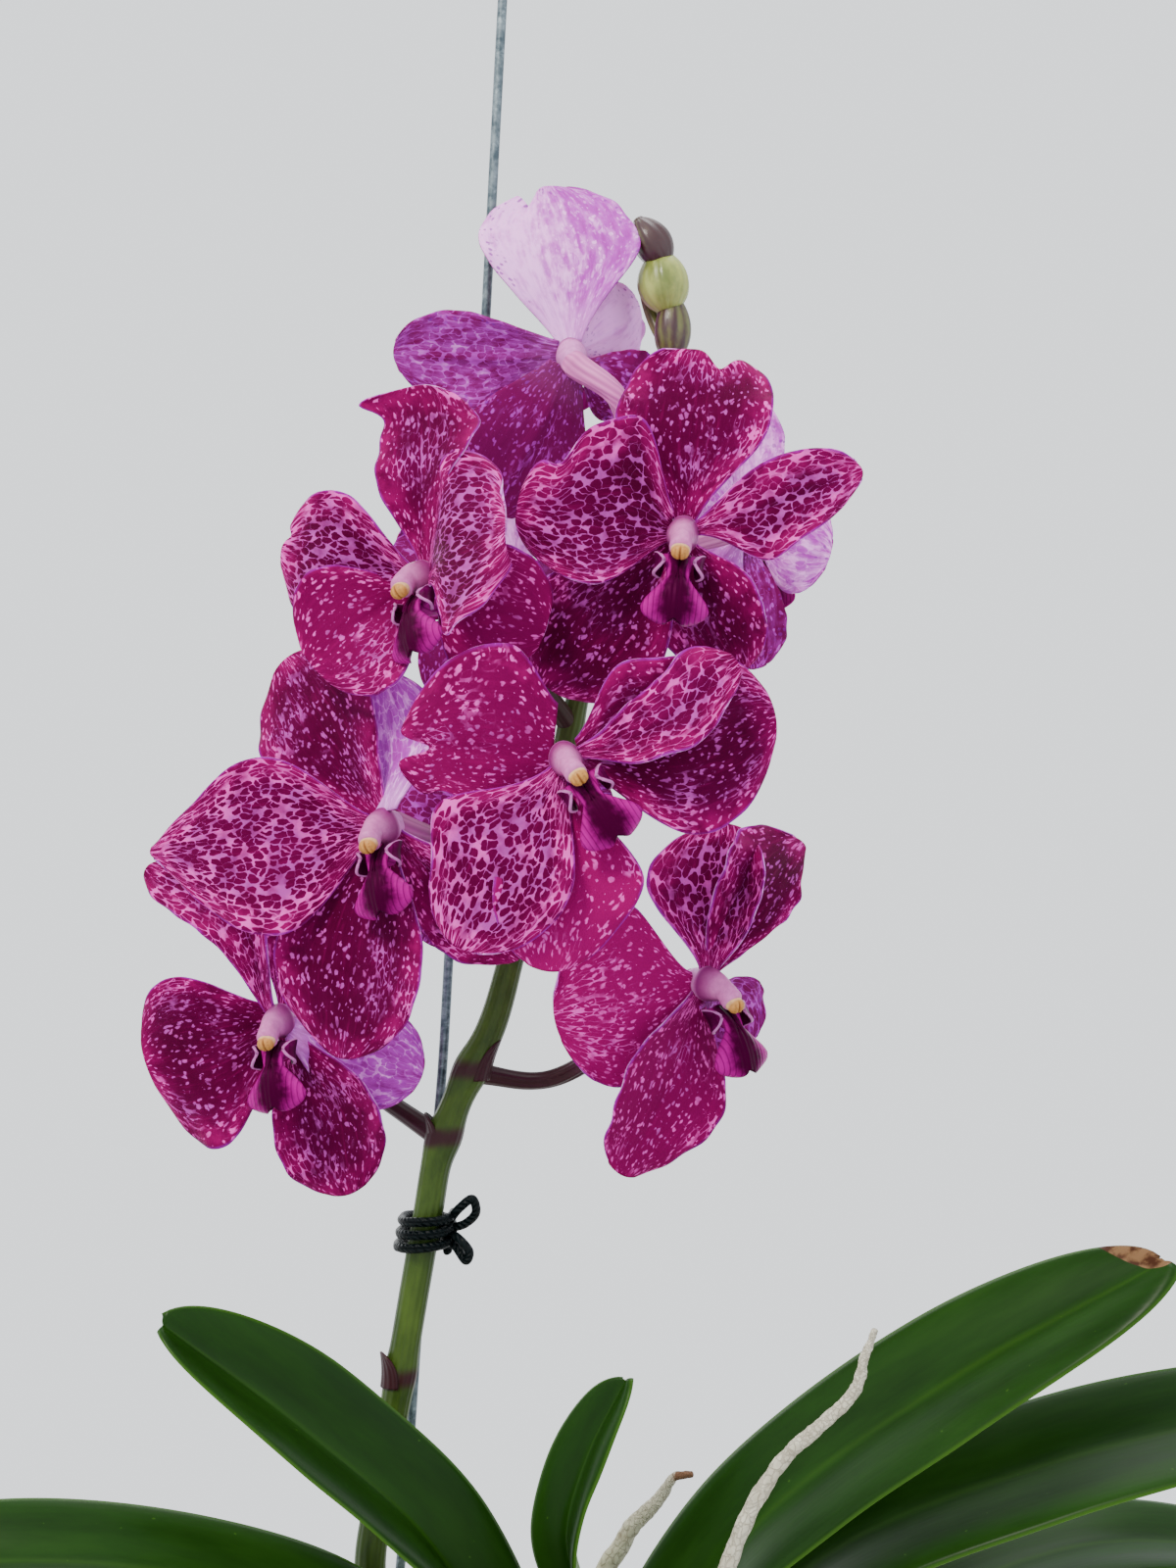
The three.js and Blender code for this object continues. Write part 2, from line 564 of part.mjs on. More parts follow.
function addBloom(name, bloom) {
  const seenFromBehind = bloom.face[1] > 0
  const grid = seenFromBehind ? REAR_PETAL_GRID : PETAL_GRID
  const sepals = bloom.sepals.map((sepal) => blade(tepalSurface(bloom, sepal, -WHORL_LIFT), grid))
  const petals = bloom.petals.map((petal) => blade(tepalSurface(bloom, petal, WHORL_LIFT), grid))
  add(`bloom_${name}_petals`, fused([ball(hubOf(bloom).toArray(), HUB_RADIUS), ...sepals, ...petals]),
    seenFromBehind ? PETAL_LILAC : PETAL_MAGENTA)
  add(`bloom_${name}_lip`, blade(lipSurface(bloom), LIP_GRID), LIP_FUCHSIA)
  add(`bloom_${name}_column`, columnOf(bloom), COLUMN_WHITE)
}

function leafSurface(leaf) {
  const shape = { ...LEAF, ...leaf }
  const curve = new THREE.CatmullRomCurve3(shape.path.map(vector), false, 'centripetal')
  const faceBase = vector(shape.faceBase)
  const faceTip = vector(shape.faceTip)
  return (u, v) => {
    const centre = curve.getPoint(u)
    const tangent = curve.getTangent(u)
    const turning = THREE.MathUtils.smoothstep(u, 0.1, 0.6)
    const normal = squareTo(tangent, faceBase.clone().lerp(faceTip, turning))
    const across = tangent.clone().cross(normal)
    const fold = degrees(mix(shape.fold[0], shape.fold[1], turning))
    const swelling = mix(shape.footWidth, shape.width, THREE.MathUtils.smoothstep(u, 0, shape.widest))
    const end = Math.sqrt(1 - (Math.max(0, u - shape.taper) / (1.015 - shape.taper)) ** 2.4)
    const half = swelling / 2 * end
    const back = shape.notch * Math.exp(-((v / 0.35) ** 2)) * u ** 12
    return centre
      .addScaledVector(tangent, -back * LEAF.notchReach)
      .addScaledVector(across, half * v * Math.cos(fold))
      .addScaledVector(normal, half * Math.abs(v) * Math.sin(fold))
  }
}

function spikeAt(height) {
  const above = SPIKE_PATH.findIndex(([, , z]) => z > height)
  const [low, high] = [vector(SPIKE_PATH[above - 1]), vector(SPIKE_PATH[above])]
  return low.lerp(high, (height - low.z) / (high.z - low.z)).toArray()
}

function stalkOf(bloom) {
  const [height, via, stout = 1] = bloom.stalk
  const face = vector(bloom.face).normalize()
  const end = hubOf(bloom).addScaledVector(face, -HUB_RADIUS - GAP - 1.4).toArray()
  return limb([spikeAt(height), via, end], [2.4 * stout, 2 * stout, 2.1], 5, 4)
}

function bract([height, direction, length]) {
  const [x, y, z] = spikeAt(height)
  const [outX, outY] = [Math.cos(degrees(direction)), Math.sin(degrees(direction))]
  const at = (out, rise) => [x + out * outX, y + out * outY, z + rise]
  return limb([at(1, -4), at(4, -1), at(5, length - 4)], [2.6, 2.2, 0.7], 6, 3)
}

function addSpike() {
  const stem = limb(SPIKE_PATH, SPIKE_RADII, 8, 28)
  const stalks = Object.values(BLOOMS).map(stalkOf)
  add('flower_spike', fused([stem, ...stalks, ...BRACTS.map(bract)]), STEM_GREEN)
  const buds = BUDS.map(({ at, lean, radius, length }) => ball(at, radius, lean, length / 2 / radius))
  add('buds', fused([limb(BUD_STALK, [1.7, 1.6, 1.4, 1.2], 7, 6), ...buds]), BUD_OLIVE)
}

function tieCoil() {
  const points = []
  const rounded = (value) => Math.sign(value) * Math.abs(value) ** TIE.squareness
  for (let k = 0; k <= TIE.turns * 10; k++) {
    const angle = 2 * Math.PI * k / 10
    const height = TIE.height + (k / 10 - TIE.turns / 2) * TIE.pitch
    const [x, y] = spikeAt(height)
    const across = TIE.reach[0] * rounded(Math.cos(angle))
    const back = TIE.setBack + TIE.reach[1] * rounded(Math.sin(angle))
    points.push([x + across, y + back, height])
  }
  return limb(points, [TIE.thickness / 2, TIE.thickness / 2], 4, TIE.turns * 8)
}

function addPot() {
  const { height, topRadius, footRadius, wall, floor, rimHeight, rimProud } = POT
  const radiusAt = (z) => mix(footRadius, topRadius - rimProud, z / height)
  const profile = [
    [0, 0], [footRadius - 1.5, 0], [footRadius, 1.5], [radiusAt(height - rimHeight), height - rimHeight],
    [topRadius - 0.8, height - rimHeight + 1], [topRadius, height - 1.5], [topRadius - 1.5, height],
    [radiusAt(height) - wall + 1, height], [radiusAt(height) - wall, height - 2],
    [radiusAt(floor) - wall - 2, floor], [0, floor],
  ]
  const shell = new THREE.LatheGeometry(profile.map(([r, z]) => new THREE.Vector2(r, z)), POT_SIDES)
  shell.rotateX(Math.PI / 2)
  const drains = []
  for (let k = 0; k < DRAIN_COUNT; k++) {
    const angle = 2 * Math.PI * k / DRAIN_COUNT
    const drain = new THREE.CylinderGeometry(DRAIN_RADIUS, DRAIN_RADIUS, floor * 3, 12)
    drain.rotateX(Math.PI / 2).translate(DRAIN_RING * Math.cos(angle), DRAIN_RING * Math.sin(angle), 0)
    drains.push(drain)
  }
  add('pot', carved(shell, drains), CLAY)
}

const endsInBark = ({ path }) => path.at(-1)[2] < BARK_TOP

function rootLimb(root) {
  return limb(root.path, root.radii, 7, root.path.length * (endsInBark(root) ? 1 : 2))
}

// Bark fills the pot: a packed bed whose top is covered by chips in rings, each turned and tilted at random,
// with holes for the cane, the roots and the wire
function addBark() {
  const { height, topRadius, footRadius, wall, floor, rimProud } = POT
  const radiusAt = (z) => mix(footRadius, topRadius - rimProud, z / height) - wall - 2 * GAP
  const under = floor + GAP
  const profile = [[0, under], [radiusAt(floor) - 2, under], [radiusAt(BARK_TOP), BARK_TOP], [0, BARK_TOP]]
  const bed = new THREE.LatheGeometry(profile.map(([r, z]) => new THREE.Vector2(r, z)), POT_SIDES / 2)
  bed.rotateX(Math.PI / 2)
  const random = seeded(7)
  const between = (low, high) => mix(low, high, random())
  const chips = []
  for (const [radius, count] of CHIP_RINGS) {
    for (let k = 0; k < count; k++) {
      const angle = 2 * Math.PI * (k + random() * 0.3) / count
      const [length, width] = [CHIP.length * between(0.7, 1), CHIP.width * between(0.7, 1)]
      const chip = new THREE.BoxGeometry(length, width, CHIP.thickness)
      chip.rotateX(between(-0.3, 0.3)).rotateY(between(-0.3, 0.3)).rotateZ(between(0, 2 * Math.PI))
      chip.translate(radius * Math.cos(angle), radius * Math.sin(angle), BARK_TOP + between(-2, 1))
      chips.push(chip)
    }
  }
  const grown = (radii) => radii.map((radius) => radius + 2 * GAP)
  const buried = Object.values(ROOTS).filter(endsInBark)
  const holes = [
    limb(CANE_PATH, grown(CANE_RADII), 10, 4),
    limb(WIRE_PATH.slice(0, 3), grown([WIRE_RADIUS + GAP, WIRE_RADIUS + GAP]), 6, 2),
    ...buried.map(({ path, radii }) => limb(path, grown(radii), 7, path.length)),
  ]
  add('bark_bed', carved(fused([bed, ...chips]), holes), BARK)
}

addPot()
addBark()
add('cane', limb(CANE_PATH, CANE_RADII, 10, 6), STEM_GREEN)
for (const [name, leaf] of Object.entries(LEAVES)) add(name, blade(leafSurface(leaf), LEAF_GRID), LEAF_GREEN)
for (const [name, root] of Object.entries(ROOTS)) add(name, rootLimb(root), ROOT_GREY)
addSpike()
add('wire_support', limb(WIRE_PATH, [WIRE_RADIUS, WIRE_RADIUS], 6, 14), GALVANISED)
add('tie', fused([tieCoil(), ...KNOT_LOOPS.map((points) => limb(points, [1, 1], 5, 8))]), TIE_BLACK)
for (const [name, bloom] of Object.entries(BLOOMS)) addBloom(name, bloom)

export default part
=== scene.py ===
"""A vanda orchid in flower in a plain clay pot of bark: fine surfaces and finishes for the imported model.

Shapes are worked out in millimetres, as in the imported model, and go into the meshes in metres.
The blooms' side is -Y, +X is to the right seen from there, and +Z is up.
"""
import logging
import math
from collections.abc import Callable, Sequence
from dataclasses import dataclass, field
from enum import Enum

import bpy
import numpy as np
from mathutils import Euler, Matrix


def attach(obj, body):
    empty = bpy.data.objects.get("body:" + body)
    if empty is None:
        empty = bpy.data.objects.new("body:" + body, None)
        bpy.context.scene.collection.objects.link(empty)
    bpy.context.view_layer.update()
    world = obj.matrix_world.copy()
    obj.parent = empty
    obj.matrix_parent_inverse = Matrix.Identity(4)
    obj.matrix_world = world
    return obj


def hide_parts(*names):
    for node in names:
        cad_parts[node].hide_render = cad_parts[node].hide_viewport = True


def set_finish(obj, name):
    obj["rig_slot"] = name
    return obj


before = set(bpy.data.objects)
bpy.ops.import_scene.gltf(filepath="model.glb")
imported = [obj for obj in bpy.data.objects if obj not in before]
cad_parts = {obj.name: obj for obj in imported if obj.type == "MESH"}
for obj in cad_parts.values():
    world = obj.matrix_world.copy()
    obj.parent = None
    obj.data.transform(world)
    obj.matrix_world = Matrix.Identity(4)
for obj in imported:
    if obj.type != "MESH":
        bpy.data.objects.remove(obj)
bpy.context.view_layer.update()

MM = 0.001
BODY = "root"
Array = np.ndarray
Point = tuple[float, float, float]
Thing = bpy.types.Object
Material = bpy.types.Material
Tree = bpy.types.NodeTree
log = logging.getLogger("orchid")


def unit(vectors: Array) -> Array:
    """Vectors scaled to length one: v / |v| along the last axis."""
    return vectors / np.maximum(np.linalg.norm(vectors, axis=-1, keepdims=True), 1e-12)


def square_to(axis: Array, hint: Array) -> Array:
    """The unit vector square to axis that is nearest to hint: hint less its share along axis."""
    return unit(hint - np.sum(hint * axis, axis=-1, keepdims=True) * axis)


def smoothstep(value: Array, low: float, high: float) -> Array:
    """An even rise from 0 at low to 1 at high: s²(3 - 2s), with s the clamped share of the way."""
    share = np.clip((value - low) / (high - low), 0, 1)
    return share * share * (3 - 2 * share)


def mix(low: Array | float, high: Array | float, share: Array | float) -> Array:
    """The blend low + (high - low)·share."""
    return low + (high - low) * share


def mottle(points: Array, scale: float, seed: int) -> Array:
    """Smooth random relief between about -1 and 1: the mean of sine waves along random directions.

    Args:
        points: Places in millimetres, (..., 3).
        scale: The wave length in millimetres.
        seed: Which set of random directions to use.

    Returns:
        One value for each place.
    """
    random = np.random.default_rng(seed)
    waves = random.normal(size=(7, 3)) * (2 * math.pi / scale / 1.7)
    phases = random.uniform(0, 2 * math.pi, 7)
    return np.mean(np.sin(points @ waves.T + phases), axis=-1) * 1.9


def bell(value: Array | float, width: float) -> Array:
    """A bell of height 1: exp(-(value / width)²)."""
    return np.exp(-((value / width) ** 2))


def signed_power(value: Array, power: float) -> Array:
    """|value| to a power, with the sign of value; a power below 1 squares off a circle or a globe."""
    return np.sign(value) * np.abs(value) ** power


@dataclass
class Skin:
    """A closed mesh as whole arrays, in millimetres.

    Attributes:
        vertices: Places, (n, 3).
        faces: Faces of three or four vertex numbers, their front outwards.
        uv: A place on the surface for each vertex, (n, 2), in centimetres.
        values: Named values for each vertex, which the finishes read.
    """

    vertices: Array
    faces: list[Array]
    uv: Array
    values: dict[str, Array] = field(default_factory=dict)

    @staticmethod
    def joined(skins: Sequence["Skin"]) -> "Skin":
        """All skins as one, with each later one's vertex numbers raised by the vertices before it.

        Args:
            skins: The skins, which may have different named values; a value that one lacks is 0 on it.

        Returns:
            The one skin.
        """
        starts = np.cumsum([0] + [len(skin.vertices) for skin in skins[:-1]])
        names = sorted({name for skin in skins for name in skin.values})
        faces = [block + start for skin, start in zip(skins, starts) for block in skin.faces]
        values = {
            name: np.concatenate([skin.values.get(name, np.zeros(len(skin.vertices))) for skin in skins])
            for name in names
        }
        vertices = np.concatenate([skin.vertices for skin in skins])
        return Skin(vertices, faces, np.concatenate([skin.uv for skin in skins]), values)

    def value(self, name: str, amount: Array | float) -> "Skin":
        """Sets a named value on every vertex and returns this skin."""
        self.values[name] = np.broadcast_to(amount, len(self.vertices)).astype(float)
        return self

    def piece(self, name: str) -> Thing:
        """Makes a smooth-shaded object of this skin, in metres, with its place in its mesh.

        Args:
            name: The name of the new object.

        Returns:
            The object, linked to the scene.
        """
        mesh = bpy.data.meshes.new(name)
        rows = [row for block in self.faces for row in block.tolist()]
        mesh.from_pydata((self.vertices * MM).tolist(), [], rows)
        loops = np.empty(len(mesh.loops), dtype=np.int32)
        mesh.loops.foreach_get("vertex_index", loops)
        mesh.uv_layers.new(name="UVMap").data.foreach_set("uv", self.uv[loops].ravel())
        for key, amounts in self.values.items():
            mesh.attributes.new(key, "FLOAT", "POINT").data.foreach_set("value", amounts)
        mesh.shade_smooth()
        mesh.update()
        thing = bpy.data.objects.new(name, mesh)
        bpy.context.scene.collection.objects.link(thing)
        return thing


def grid_faces(rows: int, columns: int, wrapped: bool = False) -> Array:
    """The quads of a grid of vertices that are numbered row by row.

    Args:
        rows: How many rows of vertices.
        columns: How many vertices in a row.
        wrapped: Whether the last column is joined to the first.

    Returns:
        The quads, (n, 4).
    """
    across = columns if wrapped else columns - 1
    i, j = np.meshgrid(np.arange(rows - 1), np.arange(across), indexing="ij")
    a, b = i * columns + j, i * columns + (j + 1) % columns
    return np.stack([a, b, b + columns, a + columns], axis=-1).reshape(-1, 4)


def capped_faces(rings: int, sides: int) -> list[Array]:
    """The faces of rings of vertices that are closed at each end by a fan round a pole.

    Args:
        rings: How many rings, the first at the low pole.
        sides: Vertices in a ring. The low and the high pole are numbered after all rings.

    Returns:
        The quads between the rings, and the two fans.
    """
    count = rings * sides
    ring = np.arange(sides)
    following = (ring + 1) % sides
    low = np.stack([np.full(sides, count), following, ring], axis=-1)
    high = np.stack([np.full(sides, count + 1), ring + count - sides, following + count - sides], axis=-1)
    return [grid_faces(rings, sides, wrapped=True), low, high]


Surface = Callable[[Array, Array], Array]


def blade(surface: Surface, rows: int, columns: int, thickness: Surface) -> Skin:
    """A thin closed blade round a surface of two parameters.

    The middle surface is surface(u, v), u from 0 to 1 along it and v from -1 to 1 across it. The two faces
    stand off it by half the thickness along the normal, which is (change along v) × (change along u), and a
    band of faces round the margin joins them. Rows crowd towards the end: u = (t + sin(tπ/2)) / 2.

    Args:
        surface: Gives places in millimetres for arrays of u and v.
        rows: Steps along the blade.
        columns: Steps across it.
        thickness: Gives the thickness in millimetres for the same arrays.

    Returns:
        The blade, with the values u, v and front, which is 1 on the face that the normal leaves.
    """
    t = np.linspace(0, 1, rows + 1)
    u, v = np.meshgrid((t + np.sin(t * math.pi / 2)) / 2, np.linspace(-1, 1, columns + 1), indexing="ij")
    middle = surface(u, v)
    normal = unit(np.cross(np.gradient(middle, axis=1), np.gradient(middle, axis=0)))
    offset = normal * thickness(u, v)[..., None] / 2
    vertices = np.concatenate([(middle + offset).reshape(-1, 3), (middle - offset).reshape(-1, 3)])
    back = u.size
    quads = grid_faces(rows + 1, columns + 1)
    number = np.arange(back).reshape(u.shape)
    loop = np.concatenate([number[0, :-1], number[:-1, -1], number[-1, :0:-1], number[:0:-1, 0]])
    after = np.roll(loop, -1)
    band = np.stack([loop + back, after + back, after, loop], axis=-1)
    faces = [quads, quads[:, ::-1] + back, band]
    both = {"u": np.tile(u.ravel(), 2), "v": np.tile(v.ravel(), 2), "front": np.repeat([1.0, 0.0], back)}
    return Skin(vertices, faces, np.zeros((2 * back, 2)), both)


@dataclass(frozen=True)
class Route:
    """A smooth curve through points: a centripetal Catmull-Rom spline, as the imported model's limbs follow.

    Attributes:
        points: The places that the curve passes through, in millimetres.
    """

    points: tuple[Point, ...]

    @staticmethod
    def through(points: Sequence[Array]) -> "Route":
        """A route through places that are given as arrays."""
        return Route(tuple(map(tuple, points)))

    def at(self, t: Array) -> Array:
        """Places at shares t of the way along, each point being an equal share from the next.

        Between two points the place is a cubic whose slopes at its ends are the mean slopes of the
        stretches on both sides, each stretch being as long as the square root of its length.

        Args:
            t: Shares from 0 to 1, of any shape.

        Returns:
            Places, of the shape of t with 3 added.
        """
        points = np.array(self.points, dtype=float)
        knots = np.concatenate([[2 * points[0] - points[1]], points, [2 * points[-1] - points[-2]]])
        place = np.clip(np.asarray(t, dtype=float), 0, 1) * (len(points) - 1)
        low = np.minimum(place.astype(int), len(points) - 2)
        share = (place - low)[..., None]
        before, start, end, after = (knots[low + k] for k in range(4))
        stretches = ((before, start), (start, end), (end, after))
        first, middle, last = (np.sqrt(np.linalg.norm(b - a, axis=-1, keepdims=True)) for a, b in stretches)
        leave = (start - before) / first - (end - before) / (first + middle) + (end - start) / middle
        arrive = (end - start) / middle - (after - start) / (middle + last) + (after - end) / last
        leave, arrive = leave * middle, arrive * middle
        square = (3 * (end - start) - 2 * leave - arrive) * share**2
        return start + leave * share + square + (2 * (start - end) + leave + arrive) * share**3

    def along(self, t: Array) -> Array:
        """Unit tangents at shares t, from places a ten-thousandth to either side."""
        t = np.asarray(t, dtype=float)
        return unit(self.at(np.minimum(t + 1e-4, 1)) - self.at(np.maximum(t - 1e-4, 0)))

    def length(self) -> float:
        """The length of the curve in millimetres, over 400 short chords."""
        return float(np.sum(np.linalg.norm(np.diff(self.at(np.linspace(0, 1, 400)), axis=0), axis=-1)))

    def at_height(self, height: float) -> float:
        """The share of the way at which a climbing curve reaches a height."""
        t = np.linspace(0, 1, 2000)
        return float(t[np.argmax(self.at(t)[:, 2] >= height)])


def limb(
    route: Route,
    radius: Surface,
    rows: int,
    sides: int,
    reference: Point = (0, 1, 0),
    domes: tuple[float, float] = (0.6, 0.6),
) -> Skin:
    """A round limb: a ring carried along a route, with a dome at each end.

    A point is route(t) + r(t, a)·(side·cos a + out·sin a). Side is tangent × reference and out is tangent ×
    side. A dome's rings shrink as cos and move out as sin of a quarter turn, to one vertex at its pole.

    Args:
        route: The curve that the middle follows.
        radius: Gives the radius in millimetres for arrays of t, from 0 to 1, and of a, an angle.
        rows: Steps along the route.
        sides: Vertices round a ring.
        reference: A direction that the route never runs along.
        domes: The heights of the start and end domes, as shares of the radius.

    Returns:
        The limb, with the value u along it and its surface places in centimetres.
    """
    turns = np.linspace(0, math.pi / 2, 6)[1:-1]
    t = np.concatenate([np.zeros(4), np.linspace(0, 1, rows + 1), np.ones(4)])
    shrink = np.concatenate([np.cos(turns[::-1]), np.ones(rows + 1), np.cos(turns)])
    push = np.concatenate([-domes[0] * np.sin(turns[::-1]), np.zeros(rows + 1), domes[1] * np.sin(turns)])
    angle = 2 * math.pi * np.arange(sides) / sides
    tangent = route.along(t)
    side = unit(np.cross(tangent, np.array(reference, dtype=float)))
    out = np.cross(tangent, side)
    reach = radius(t[:, None], angle[None, :]) + np.zeros((len(t), sides))
    mean = reach.mean(axis=1)
    centre = route.at(t) + tangent * (push * mean)[:, None]
    spoke = side[:, None] * np.cos(angle)[None, :, None] + out[:, None] * np.sin(angle)[None, :, None]
    rings = centre[:, None] + spoke * (reach * shrink[:, None])[..., None]
    rise = np.array([-domes[0], domes[1]]) * mean[[0, -1]]
    poles = route.at(t[[0, -1]]) + tangent[[0, -1]] * rise[:, None]
    length = route.length()
    girth = (angle * mean.mean())[None, :] + np.zeros_like(reach)
    place = np.stack([girth, (t * length + push * mean)[:, None] + np.zeros_like(reach)], axis=-1) / 10
    uv = np.concatenate([place.reshape(-1, 2), [[0, 0], [0, length / 10]]])
    vertices = np.concatenate([rings.reshape(-1, 3), poles])
    share = np.concatenate([np.repeat(t, sides), [0, 1]])
    return Skin(vertices, capped_faces(len(t), sides), uv, {"u": share})


def tapered(radii: Sequence[float]) -> Surface:
    """A radius that runs evenly from each of the radii to the next along the limb."""
    places = np.linspace(0, 1, len(radii))
    return lambda t, angle: np.interp(t, places, radii)


def fitted(thing: Thing, slot: str, *nodes: str) -> Thing:
    """Makes a piece ride on the plant's one body, take its finish from a slot and stand for the nodes.

    Args:
        thing: The piece.
        slot: The slot of its finish.
        nodes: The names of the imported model's nodes that it replaces.

    Returns:
        The piece.
    """
    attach(thing, BODY)
    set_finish(thing, slot)
    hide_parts(*nodes)
    return thing


def paint(code: str) -> tuple[float, float, float, float]:
    """A colour in linear light: each part c of it becomes ((c + 0.055) / 1.055) ^ 2.4 above the toe.

    Args:
        code: The colour as six hexadecimal digits.

    Returns:
        Red, green, blue and 1.
    """
    parts = np.array([int(code[k:k + 2], 16) / 255 for k in (0, 2, 4)])
    linear = np.where(parts <= 0.04045, parts / 12.92, ((parts + 0.055) / 1.055) ** 2.4)
    return (*(float(part) for part in linear), 1.0)


Socket = bpy.types.NodeSocket
Feed = Socket | float | tuple | str


@dataclass(frozen=True)
class Marks:
    """What a shared effect gives.

    Attributes:
        mask: Where its marks are.
        height: The relief under them.
        dots: One spot to a cell.
    """

    mask: Socket | None = None
    height: Socket | None = None
    dots: Socket | None = None


class Bench:
    """Adds nodes to one node tree, and wires them as they are added."""

    def __init__(self, tree: Tree) -> None:
        """Takes the tree of a material or of a group."""
        self.tree = tree

    def feed(self, socket: Socket, source: Feed) -> None:
        """Links a socket to a source, or gives it a value of its own.

        Args:
            socket: The input to feed.
            source: An output, a number, a place, or a colour's six digits.
        """
        if isinstance(source, Socket):
            self.tree.links.new(source, socket)
        else:
            socket.default_value = paint(source) if isinstance(source, str) else source

    def add(self, kind: str, inputs: dict[str | int, Feed], **settings: object) -> bpy.types.Node:
        """A new shader node.

        Args:
            kind: Its type, without the word ShaderNode before it.
            inputs: What its named or numbered inputs are fed.
            settings: Its own properties.

        Returns:
            The node.
        """
        node = self.tree.nodes.new(f"ShaderNode{kind}")
        for name, setting in settings.items():
            setattr(node, name, setting)
        for key, source in inputs.items():
            self.feed(node.inputs[key], source)
        return node

    def sum(self, operation: str, *terms: Feed) -> Socket:
        """The result of one arithmetic operation on up to three terms."""
        return self.add("Math", dict(enumerate(terms)), operation=operation).outputs[0]

    def times(self, first: Feed, second: Feed) -> Socket:
        """The product of two numbers."""
        return self.sum("MULTIPLY", first, second)

    def plus(self, first: Feed, second: Feed) -> Socket:
        """Two numbers together."""
        return self.sum("ADD", first, second)

    def around(self, height: Feed, amount: float) -> Socket:
        """How far a height is from 0.5, times an amount."""
        return self.times(self.sum("SUBTRACT", height, 0.5), amount)

    def scaled(self, vector: Feed, scale: Point) -> Socket:
        """A vector times a scale, axis by axis."""
        return self.add("VectorMath", {0: vector, 1: scale}, operation="MULTIPLY").outputs[0]

    def step(self, value: Feed, low: Feed, high: Feed, start: Feed = 0.0, end: Feed = 1.0) -> Socket:
        """A smooth step of a value: start below low, and end above high."""
        inputs = {0: value, 1: low, 2: high, 3: start, 4: end}
        return self.add("MapRange", inputs, interpolation_type="SMOOTHSTEP").outputs[0]

    def between(self, share: Feed, first: Feed, second: Feed) -> Socket:
        """The number that lies at a share of the way from the first to the second."""
        return self.add("Mix", {0: share, 2: first, 3: second}, data_type="FLOAT").outputs[0]

    def blend(self, share: Feed, first: Feed, second: Feed) -> Socket:
        """The second colour laid over the first by a share."""
        return self.add("Mix", {0: share, 6: first, 7: second}, data_type="RGBA").outputs[2]

    def noise(self, vector: Feed, scale: Feed, detail: float = 3, rough: float = 0.55) -> Socket:
        """Noise between 0 and 1."""
        inputs = {"Vector": vector, "Scale": scale, "Detail": detail, "Roughness": rough}
        return self.add("TexNoise", inputs).outputs["Fac"]

    def value(self, name: str) -> Socket:
        """A named value of the piece's own vertices."""
        return self.add("Attribute", {}, attribute_name=name).outputs["Fac"]

    def surface(self) -> Socket:
        """The piece's own surface places, in centimetres."""
        return self.add("UVMap", {}, uv_map="UVMap").outputs[0]

    def place(self) -> Socket:
        """Object coordinates, in metres."""
        return self.add("TexCoord", {}).outputs["Object"]

    def use(self, group: Tree, vector: Feed, **inputs: Feed) -> Marks:
        """A shared effect, placed with its own values.

        Args:
            group: The effect's group.
            vector: The places that it marks.
            inputs: Its other inputs, by their names in small letters.

        Returns:
            What the effect gives.
        """
        fed = {"Vector": vector, **{name.capitalize(): source for name, source in inputs.items()}}
        node = self.add("Group", {}, node_tree=group)
        for label, source in fed.items():
            self.feed(node.inputs[label], source)
        return Marks(**{output.name.lower(): output for output in node.outputs})


class GroupBench(Bench):
    """A bench on a new shader node group, whose first input is Vector and whose other sockets are numbers.

    Attributes:
        given: The group's inputs, in order.
    """

    def __init__(self, name: str, *numbers: str) -> None:
        """Makes the group with its inputs.

        Args:
            name: The group's name.
            numbers: The names of the inputs after Vector.
        """
        super().__init__(bpy.data.node_groups.new(name, "ShaderNodeTree"))
        kinds = {"Vector": "Vector", **dict.fromkeys(numbers, "Float")}
        for label, kind in kinds.items():
            self.tree.interface.new_socket(name=label, in_out="INPUT", socket_type=f"NodeSocket{kind}")
        source = self.tree.nodes.new("NodeGroupInput")
        self.given = [source.outputs[label] for label in kinds]

    def giving(self, **outputs: Socket) -> Tree:
        """Puts the group's outputs out.

        Args:
            outputs: The source of each output, by its name.

        Returns:
            The group.
        """
        for label in outputs:
            self.tree.interface.new_socket(name=label, in_out="OUTPUT", socket_type="NodeSocketFloat")
        target = self.tree.nodes.new("NodeGroupOutput")
        for label, source in outputs.items():
            self.feed(target.inputs[label], source)
        return self.tree

    def shaken(self, vector: Feed, waver: Feed) -> Socket:
        """Places moved about by coloured noise, by up to half of waver each way.

        Args:
            vector: The places.
            waver: How far they may move from end to end.

        Returns:
            The places moved.
        """
        noise = self.add("TexNoise", {"Vector": vector, "Scale": 6.0, "Detail": 2.0}).outputs["Color"]
        centred = self.add("VectorMath", {0: noise, 1: (0.5, 0.5, 0.5)}, operation="SUBTRACT").outputs[0]
        shift = self.add("VectorMath", {0: centred, "Scale": waver}, operation="SCALE")
        return self.add("VectorMath", {0: vector, 1: shift.outputs[0]}, operation="ADD").outputs[0]

    def cells(self, vector: Feed, scale: Feed, randomness: float, **settings: str) -> bpy.types.Node:
        """A texture of cells round random places, each of which is given by its distance or its colour."""
        inputs = {"Vector": vector, "Scale": scale, "Randomness": randomness}
        return self.add("TexVoronoi", inputs, **settings)


